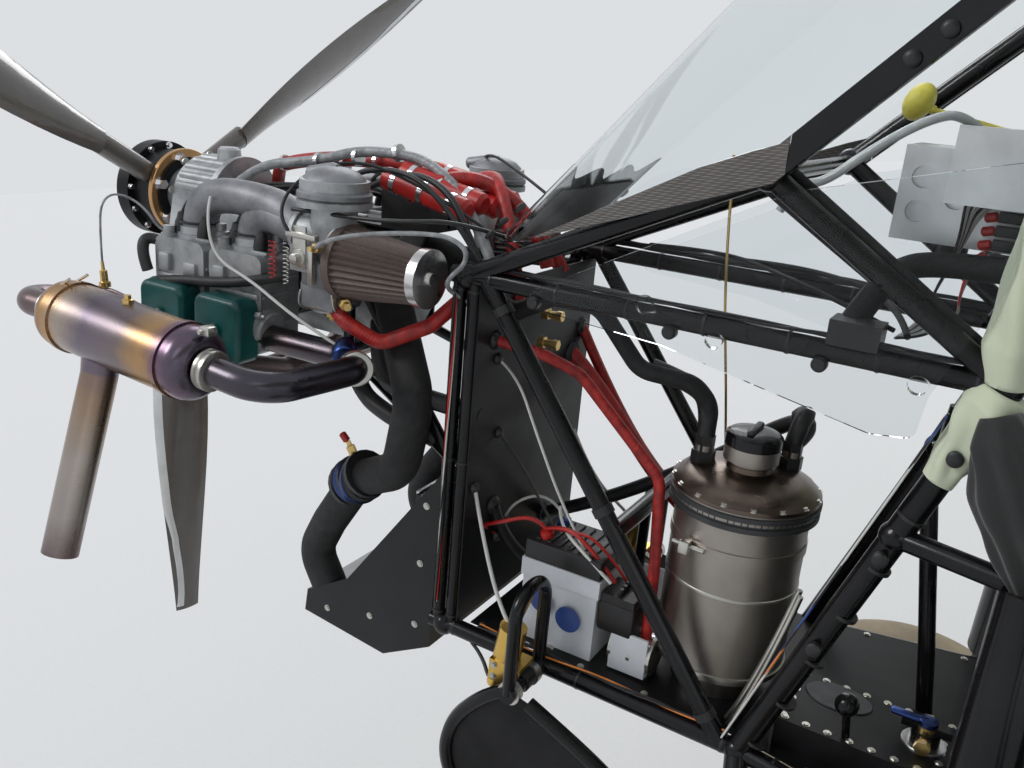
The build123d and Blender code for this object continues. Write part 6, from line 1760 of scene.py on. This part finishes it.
@dataclass
class CockpitDetail(SubAssembly):
    """Dials, switches, wires, knobs and floor fasteners of the cockpit."""

    dash_y: float = 654.0

    def build(self) -> Iterable[Piece]:
        """Make the pieces.

        Returns:
            The pieces.
        """
        yield from self.dials()
        yield from self.wiring()
        yield from self.floor()
        yield from self.levers()

    def dials(self) -> Iterable[Piece]:
        """Blank dials in their bezels, switches and knobs on the panel.

        Returns:
            The pieces.
        """
        glass, pale, knobs = bmesh.new(), bmesh.new(), bmesh.new()
        for x, z, radius in ((-110, 265, 36), (0, 265, 36), (110, 265, 36), (-110, 195, 20), (110, 195, 20)):
            add_turned(glass, (x, self.dash_y + 10.5, z), (x, self.dash_y + 20, z),
                       [(0, radius), (0.6, radius)], 48)
            add_turned(pale, (x, self.dash_y + 11.2, z), (x, self.dash_y + 20, z), [(0, 3), (1.6, 3)], 16)
            for tick in range(12):
                angle = pi * (0.75 + 1.5 * tick / 11)
                c, s = cos(angle), -sin(angle)
                spot = (x + radius * 0.84 * c, self.dash_y + 11.2, z + radius * 0.84 * s)
                add_turned(pale, spot, (spot[0], spot[1] + 5, spot[2]), [(0, 1.1), (0.5, 1.1)], 8)
        for step in range(7):
            x = -66 + 22 * step
            add_turned(knobs, (x, self.dash_y, 178), (x, self.dash_y + 20, 178),
                       [(0, 6), (4, 6), (5, 2.4), (16, 3), (18, 2)], 14)
        for x in (-150, 150):
            add_turned(knobs, (x, self.dash_y, 230), (x, self.dash_y + 20, 230),
                       [(0, 4), (10, 4), (11, 11), (24, 12), (27, 9)], 24)
        yield self.piece(glass, "dial faces", Look.DIAL)
        yield self.piece(pale, "dial marks", Look.PALE_WIRE)
        yield self.piece(knobs, "panel knobs", Look.BLACK)

    def wiring(self) -> Iterable[Piece]:
        """White and black looms in front of the panel with red terminals, ducts and a yellow knob.

        Returns:
            The pieces.
        """
        routes = []
        for number in range(9):
            shift = 5 * number
            look = (Look.PALE_WIRE, Look.PALE_WIRE, Look.BLACK)[number % 3]
            routes.append(Route([
                (40 + shift, 644, 262 - 3 * number), (56 + shift, 600 - shift / 2, 236 + shift),
                (60 + shift / 2, 585, 182), (70 + shift / 2, 566, 121), (90 + shift, 560 + 4 * number, 94),
                (150, 548, 88)], 1.7, look))
        for number in range(5):
            routes.append(Route([
                (-60 + 24 * number, 646, 190), (-50 + 20 * number, 600, 160 + 8 * number), (0, 590, 120),
                (50, 600, 100), (120, 560, 92)], 1.6, (Look.BLACK, Look.RED, Look.PALE_WIRE)[number % 3]))
        yield self.wires("panel wires", routes, 1)
        red, black = bmesh.new(), bmesh.new()
        for number in range(6):
            add_turned(red, (62 + 4 * number, 616, 240 - 15 * number),
                       (62 + 4 * number, 600, 236 - 15 * number), [(0, 4), (2, 5.5), (12, 5.5), (14, 3)], 12)
            add_block(black, (58 + 4 * number, 616, 234 - 15 * number),
                      (68 + 4 * number, 650, 246 - 15 * number), 1.5)
        yield self.piece(red, "terminals", Look.RED)
        yield self.piece(black, "terminal blocks", Look.BLACK)
        ducts = [
            Route([(-150, 560, 130), (-100, 560, 200), (-60, 600, 240), (-50, 645, 236)], 19, Look.HOSE),
            Route([(150, 500, 96), (120, 520, 150), (90, 560, 170), (90, 645, 170)], 15, Look.HOSE)]
        yield self.wires("air ducts", ducts)
        knob = bmesh.new()
        add_turned(knob, (-150, 500, 330), (-146, 470, 344), [(0, 6), (5, 6)] + [
            (23 - 19 * cos(0.2 + 0.27 * step), 26 * sin(0.2 + 0.27 * step)) for step in range(11)], 32)
        add_turned(knob, (-150, 500, 330), (-156, 650, 300), [(0, 4), (152, 4)], 12)
        yield self.piece(knob, "yellow knob", Look.YELLOW, 70)

    def floor(self) -> Iterable[Piece]:
        """Rivets of the console and the floor, a bare oval plate and the valve's plate.

        Returns:
            The pieces.
        """
        rivets = [Bolt((x, y, -427.9), (0, 0, 1)) for x in (38, 152) for y in range(515, 705, 27)]
        rivets += [Bolt((x, y, -427.9), (0, 0, 1)) for x in range(60, 150, 22) for y in (512, 698)]
        rivets += [Bolt((side * x, y, -465.2), (0, 0, 1)) for side in SIDES
                   for x, y in ((165, 60), (168, 140), (168, 230), (170, 330), (172, 430), (190, 560),
                                (215, 700), (240, 820), (262, 930))]
        yield self.bolts("floor rivets", rivets, 3.6, 2.2)
        plate = bmesh.new()
        angles = [2 * pi * step / 48 for step in range(48)]
        add_rows(plate, [[level((68 + wide * cos(angle), 565 + deep * sin(angle), z)) for angle in angles]
                         for wide, deep, z in ((30, 44, -427.6), (29, 43, -426.0))])
        yield self.piece(plate, "bare oval plate", Look.DARK_ALLOY)
        washer = bmesh.new()
        add_turned(washer, (95, 676, -428), (95, 676, -420), [(0, 27), (1.5, 27), (2.5, 26)], 40)
        yield self.piece(washer, "valve plate", Look.SHEET_ALLOY)

    def levers(self) -> Iterable[Piece]:
        """Fuel valve, brake block screws and the pedals' clamps.

        Returns:
            The pieces.
        """
        brass, blue = bmesh.new(), bmesh.new()
        add_turned(
            brass, (95, 676, -425), (95, 676, -395), [(0, 18), (12, 18), (13, 13), (24, 13), (25, 8)], 24)
        for aside in (-1, 1):
            add_turned(brass, (95 + aside * 14, 676, -416), (95 + aside * 34, 676, -416),
                       [(0, 8), (12, 8), (13, 10), (20, 10)], 6)
        add_turned(blue, (95, 676, -402), (95, 676, -390), [(0, 12), (8, 12), (9, 8)], 20)
        add_block(blue, (89, 630, -401), (101, 680, -393), 4)
        yield self.piece(brass, "fuel valve", Look.BRASS)
        yield self.piece(blue, "valve handle", Look.BLUE_ALLOY)
        screws = [Bolt((side * 240.5, y, z), (side, 0, 0)) for side in SIDES for y in (128, 162)
                  for z in (-484, -466)]
        yield self.bolts("brake screws", screws, 3.6)
        lines = [[(side * 152, 170, -480), (side * 262, 170, -480)] for side in SIDES]
        yield bands("pedal clamps", lines, 44, 17, 12, Look.STEEL)
        sleeves = bmesh.new()
        for side in SIDES:
            add_turned(sleeves, (side * 176, 170, -480), (side * 250, 170, -480),
                       [(0, 12), (1, 15), (60, 15), (61, 12)], 24)
        yield self.piece(sleeves, "pedal sleeves", Look.BLACK)
        loops, guards = [], bmesh.new()
        outline = ((166, -479), (141, -496), (113, -523), (85, -560), (72, -599), (73, -635), (88, -668),
                   (124, -694), (180, -702), (250, -684), (322, -640), (362, -596), (352, -562), (315, -538),
                   (251, -509), (199, -487))
        for side in SIDES:
            loops.append(Route([(side * 262, y, z) for y, z in outline], 11.0, Look.TUBE))
            add_rows(guards, [[level((side * x, y, z)) for y, z in outline] for x in (261, 263)])
        yield self.wires("heel loops", loops)
        yield self.piece(guards, "heel plates", Look.SHEET)
        lines = []
        for side in SIDES:
            lines += [
                Route(on_side(side, (220, 128, -506), (214, 110, -520), (190, 80, -500), (178, 40, -484),
                              (170, 20, -462)), 3.0, Look.SMOOTH_HOSE),
                Route(on_side(side, (220, 146, -420), (214, 120, -400), (176, 60, -330), (160, 26, -250)),
                              3.0, Look.PALE_WIRE)]
        lines += [Route([(150, 440, -470), (150, 470, -400), (150, 502, -248)], 4.0, Look.STEEL),
                  Route([(162, 446, -470), (162, 476, -400), (162, 506, -250)], 4.0, Look.STEEL)]
        yield self.wires("brake lines", lines)


@dataclass
class WheelDetail(SubAssembly):
    """Bolts, disc and valve of one main wheel."""

    side: Side = Side.PORT
    x: float = 750.0
    y: float = 620.0
    z: float = -1066.8

    def build(self) -> Iterable[Piece]:
        """Make the pieces.

        Returns:
            The pieces.
        """
        sign = self.side.value
        bolts = [Bolt((sign * (self.x + 54), self.y + 62 * cos(a), self.z + 62 * sin(a)), (sign, 0, 0))
                 for a in (step * pi / 3 for step in range(6))]
        yield self.bolts(f"wheel bolts {self.side.name.lower()}", bolts, 5)
        disc = [(0, 40), (0, 78), (1, 79), (4, 79), (5, 78), (5, 40)]
        yield self.turned(f"brake disc {self.side.name.lower()}", (sign * (self.x - 78), self.y, self.z),
                          (sign * (self.x - 40), self.y, self.z), disc, Look.STEEL, 56)
        valve = [(0, 4), (14, 4), (15, 5.5), (24, 5.5), (25, 4)]
        yield self.turned(f"valve {self.side.name.lower()}", (sign * (self.x + 54), self.y, self.z + 88),
                          (sign * (self.x + 90), self.y, self.z + 94), valve, Look.BLACK, 14)


@dataclass
class Seats(SubAssembly):
    """Padded cushions of both seats, blown up from the CAD pads by cloth pressure."""

    voxel: float = 0.011
    shrink: float = 0.006
    pressure: float = 4.0
    limit: float = 0.011
    frames: int = 20
    channel: float = 0.078
    channel_edge: float = 0.09
    channel_depth: float = 0.0045
    seam: float = 0.165
    seam_edge: float = 0.007
    seam_depth: float = 0.004

    def build(self) -> Iterable[Piece]:
        """Make the cushions.

        Returns:
            The pieces.
        """
        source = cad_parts["seat_pads"]
        piece = self.remeshed(source)
        self.inflate(piece)
        self.quilt(piece)
        piece.data.materials.clear()
        piece.data.materials.append(material(Look.SEAT_CLOTH))
        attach(piece, self.body)
        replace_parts(piece, "seat_pads")
        yield piece

    def remeshed(self, source: Piece) -> Piece:
        """Remesh the CAD pads evenly and draw them in a little.

        Args:
            source: the CAD node.

        Returns:
            The new piece.
        """
        mesh = source.data.copy()
        mesh.transform(source.matrix_world)
        mesh.name = "seat cushions"
        piece = stand("seat cushions", mesh)
        modifier = piece.modifiers.new("even", "REMESH")
        modifier.mode = "VOXEL"
        modifier.voxel_size = self.voxel
        bpy.context.view_layer.update()
        piece = plain_mesh(piece, "seat cushions")
        shape = bmesh.new()
        shape.from_mesh(piece.data)
        for vert in shape.verts:
            vert.co -= vert.normal * self.shrink
        for face in shape.faces:
            face.smooth = True
        shape.to_mesh(piece.data)
        shape.free()
        return piece

    def inflate(self, piece: Piece) -> None:
        """Blow the cushions up with cloth pressure, each point moving no further than the limit.

        Args:
            piece: the cushions.
        """
        before = [vert.co.copy() for vert in piece.data.vertices]
        cloth = piece.modifiers.new("pad", "CLOTH")
        cloth.settings.use_pressure = True
        cloth.settings.uniform_pressure_force = self.pressure
        cloth.settings.effector_weights.gravity = 0.0
        cloth.settings.quality = 4
        cloth.settings.tension_stiffness = 20
        scene = bpy.context.scene
        for step in range(1, self.frames + 1):
            scene.frame_set(step)
        shown = piece.evaluated_get(bpy.context.evaluated_depsgraph_get()).to_mesh()
        after = [vert.co.copy() for vert in shown.vertices]
        piece.modifiers.remove(cloth)
        scene.frame_set(1)
        for vert, old, new in zip(piece.data.vertices, before, after):
            step = new - old
            vert.co = old + step * min(1.0, self.limit / max(step.length, 1e-6))
        smooth = bmesh.new()
        smooth.from_mesh(piece.data)
        bmesh.ops.smooth_vert(
            smooth, verts=smooth.verts, factor=0.5, use_axis_x=True, use_axis_y=True, use_axis_z=True)
        smooth.to_mesh(piece.data)
        smooth.free()

    def quilt(self, piece: Piece) -> None:
        """Press sewn channels across the cushions and a seam along each side.

        Args:
            piece: the cushions.
        """
        shape = bmesh.new()
        shape.from_mesh(piece.data)
        bmesh.ops.subdivide_edges(shape, edges=shape.edges, cuts=1, use_grid_fill=True)
        shape.normal_update()
        for vert in shape.verts:
            spot = vert.co - Vector((0, STANCE.aft, STANCE.up))
            along = spot.y * 0.72 + spot.z * 0.69
            phase = abs((along / self.channel) % 1.0 - 0.5)
            aside = abs(vert.co.x)
            dip = max(0.0, 1 - phase / self.channel_edge) ** 2 * self.channel_depth
            rim = max(0.0, 1 - abs(aside - self.seam) / self.seam_edge) ** 2 * self.seam_depth
            vert.co -= vert.normal * max(dip if aside < self.seam else 0.0, rim)
        shape.to_mesh(piece.data)
        shape.free()
        for polygon in piece.data.polygons:
            polygon.use_smooth = True


@dataclass
class ScoopDetail(SubAssembly):
    """Lip, screws and radiator fins of the air scoop."""

    def build(self) -> Iterable[Piece]:
        """Make the pieces.

        Returns:
            The pieces.
        """
        fins = bmesh.new()
        for step in range(34):
            x = -150 + step * 300 / 33
            add_block(fins, (x - 0.6, -74.5, -512), (x + 0.6, -72.5, -298))
        add_block(fins, (-160, -78, -526), (160, -72, -514), 1)
        add_block(fins, (-160, -78, -298), (160, -72, -286), 1)
        yield self.piece(fins, "radiator fins", Look.SHEET_ALLOY)
        screws = [Bolt((side * 170.5, y, z), (side, 0, 0)) for side in SIDES for y, z in (
            (-50, -300), (-56, -400), (-60, -510), (-150, -530), (-240, -550))]
        yield self.bolts("scoop screws", screws, 4, 2)


LOOKS: dict[Look, tuple[str, ...]] = {
    Look.TUBE: ("side_frame_left", "side_frame_right", "cross_tubes", "engine_mount", "seat_frames",
                "controls", "lift_struts", "gear_legs", "shock_struts", "tailwheel_fork"),
    Look.SHEET: ("firewall", "floor_panels", "tail_spring", "propeller_hub"),
    Look.DASH: ("instrument_panel",), Look.SHEET_ALLOY: ("avionics_boxes", "rim_left", "rim_right"),
    Look.BLACK: ("electric_boxes", "radiator"), Look.GOLD: ("brake_cylinders",), Look.WHITE: ("battery",),
    Look.CHROME: ("fuel_pump",), Look.CAP: ("filter_caps",), Look.SPUN: ("oil_tank",),
    Look.CLEAR: ("windscreen", "side_windows", "roof_panel"),
    Look.SAGE: ("aft_fuselage", "wing_left", "wing_right", "flap_left", "flap_right", "aileron_left",
                "aileron_right", "stabilizer", "elevator", "fin", "rudder"), Look.STEEL: ("tail_stays",),
    Look.TAN: ("tyre_left", "tyre_right"), Look.TYRE: ("tailwheel",), Look.BLADE: ("propeller_blades",),
    Look.ALLOY: ("crankcase", "cylinder_heads", "carburettors"), Look.DARK_ALLOY: ("cylinders",),
    Look.COVER: ("rocker_covers",), Look.GAUZE: ("air_filters",), Look.PIPE: ("exhaust_pipes",),
    Look.MUFFLER: ("muffler",), Look.HOSE: ("coolant_hoses",), Look.SLEEVE: ("red_hoses",),
    Look.SCOOP: ("air_scoop",)}


def paint_frame() -> None:
    """Give every node of the CAD model its finish."""
    for look, names in LOOKS.items():
        for name in names:
            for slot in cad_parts[name].material_slots:
                slot.material = material(look)


@dataclass(frozen=True)
class Lamp:
    """A distant soft lamp: its place and aim in metres, its power and its spread in degrees."""

    name: str
    place: Point
    aim: Point
    power: float
    spread: float

    def build(self) -> None:
        """Set the lamp in the scene."""
        data = bpy.data.lights.new(self.name, "SUN")
        data.energy = self.power
        data.angle = radians(self.spread)
        lamp = stand(self.name, data)
        lamp.location = self.place
        lamp.rotation_euler = (Vector(self.aim) - Vector(self.place)).to_track_quat("-Z", "Y").to_euler()


@dataclass
class Studio:
    """Floor, lights and the camera that matches the photograph."""

    eye: Point = (1.2410, -1.3630, 1.7050)
    right: Point = (-0.5102, 0.8592, -0.0384)
    down: Point = (0.2295, 0.0930, -0.9688)
    forward: Point = (-0.8288, -0.5031, -0.2447)
    lens: float = 33.01
    sensor: float = 36.0
    lamps: tuple[Lamp, ...] = (
        Lamp("key lamp", (3.6, -5.2, 5.4), (0.0, -1.6, 1.2), 1.25, 22),
        Lamp("fill lamp", (4.6, 2.6, 3.4), (0.2, -1.0, 1.2), 0.35, 40),
        Lamp("rim lamp", (-4.2, -3.4, 4.6), (0.0, -1.6, 1.2), 0.7, 30))
    floor_half: float = 60.0
    floor_glow: float = 0.06
    soft_light: float = 0.62
    backdrop: float = 0.9
    backdrop_in_gloss: float = 0.45

    def build(self) -> None:
        """Make the floor, the world, the lamps and the camera."""
        self.floor()
        self.world()
        for lamp in self.lamps:
            lamp.build()
        self.camera()

    def camera(self) -> None:
        """Set the camera where the photograph was taken."""
        data = bpy.data.cameras.new("camera")
        data.lens = self.lens
        data.sensor_width = self.sensor
        data.sensor_fit = "HORIZONTAL"
        data.clip_start = 0.02
        camera = stand("camera", data)
        axes = Matrix((
            self.right, [-value for value in self.down], [-value for value in self.forward])).transposed()
        camera.matrix_world = Matrix.Translation(self.eye) @ axes.to_4x4()
        bpy.context.scene.camera = camera

    def floor(self) -> None:
        """Wide plain floor at the wheels' contact."""
        shape = bmesh.new()
        half = self.floor_half
        shape.faces.new([shape.verts.new((x, y, 0.0))
                         for x, y in ((-half, -half), (half, -half), (half, half), (-half, half))])
        mesh = bpy.data.meshes.new("floor")
        shape.to_mesh(mesh)
        shape.free()
        shader = Shader("pale floor")
        pale = shader.ramp(shader.noise(60.0, 4.0), (
            (0.3, (0.655, 0.655, 0.655)), (0.7, (0.675, 0.675, 0.672))))
        seen = shader.add("ShaderNodeLightPath")
        glow = shader.maths("MULTIPLY", (seen, "Is Camera Ray"), self.floor_glow)
        shader.set(
            Base_Color=pale, Roughness=0.9, Emission_Color=(1.0, 1.0, 1.0, 1.0), Emission_Strength=glow)
        mesh.materials.append(shader.material)
        plane = stand("floor", mesh)

    def world(self) -> None:
        """Soft world light with a pale background to the camera, gloss and glass."""
        world = bpy.data.worlds.new("studio")
        world.use_nodes = True
        tree = world.node_tree
        tree.nodes.clear()
        light = add_node(tree, "ShaderNodeLightPath")
        gloss = add_node(tree, "ShaderNodeMath", {
            0: (light, "Is Glossy Ray"), 1: self.backdrop_in_gloss}, operation="MULTIPLY")
        seen = add_node(
            tree, "ShaderNodeMath", {0: (light, "Is Camera Ray"), 1: (gloss, "Value")}, operation="MAXIMUM")
        either = add_node(tree, "ShaderNodeMath", {
            0: (seen, "Value"), 1: (light, "Is Transmission Ray")}, operation="MAXIMUM")
        soft = add_node(tree, "ShaderNodeBackground", {
            "Color": (0.90, 0.94, 1.0, 1.0), "Strength": self.soft_light})
        pale = add_node(tree, "ShaderNodeBackground", {
            "Color": (0.80, 0.82, 0.84, 1.0), "Strength": self.backdrop})
        mix = add_node(tree, "ShaderNodeMixShader", {
            "Fac": (either, "Value"), 1: (soft, "Background"), 2: (pale, "Background")})
        add_node(tree, "ShaderNodeOutputWorld", {"Surface": (mix, "Shader")})
        bpy.context.scene.world = world


def assemblies() -> list[SubAssembly]:
    """List every group of the scene.

    Returns:
        The groups, in the order in which they are built.
    """
    wing = [380 + 304 * rib for rib in range(13)]
    tail = [side * x for side in SIDES for x in (260, 560, 860, 1120)]
    return [FrameTrim(), PostWrap(), ScreenTrim(), PropellerDetail(), EngineDetail(), ExhaustDetail(),
            PlumbingDetail(), TankDetail(), ElectricDetail(), CockpitDetail(), ScoopDetail(), Seats(),
            FabricTapes(node="wing_left", stations=wing),
            FabricTapes(node="wing_right", stations=[-x for x in wing]),
            FabricTapes(node="stabilizer", stations=tail, front=4170, rear=4585, middle_z=28, width=34),
            WheelDetail(body="wheel_left", side=Side.PORT),
            WheelDetail(body="wheel_right", side=Side.STARBOARD)]


def main() -> None:
    """Dress the frame and set the studio."""
    bpy.context.scene.view_settings.view_transform = "Standard"
    paint_frame()
    total = 0
    for group in assemblies():
        for piece in group.build():
            faces = len(piece.data.polygons)
            LOG.info("%s: %d faces", piece.name, faces)
            total += faces
    LOG.info("all pieces: %d faces", total)
    Studio().build()


if __name__ == "__main__":
    main()
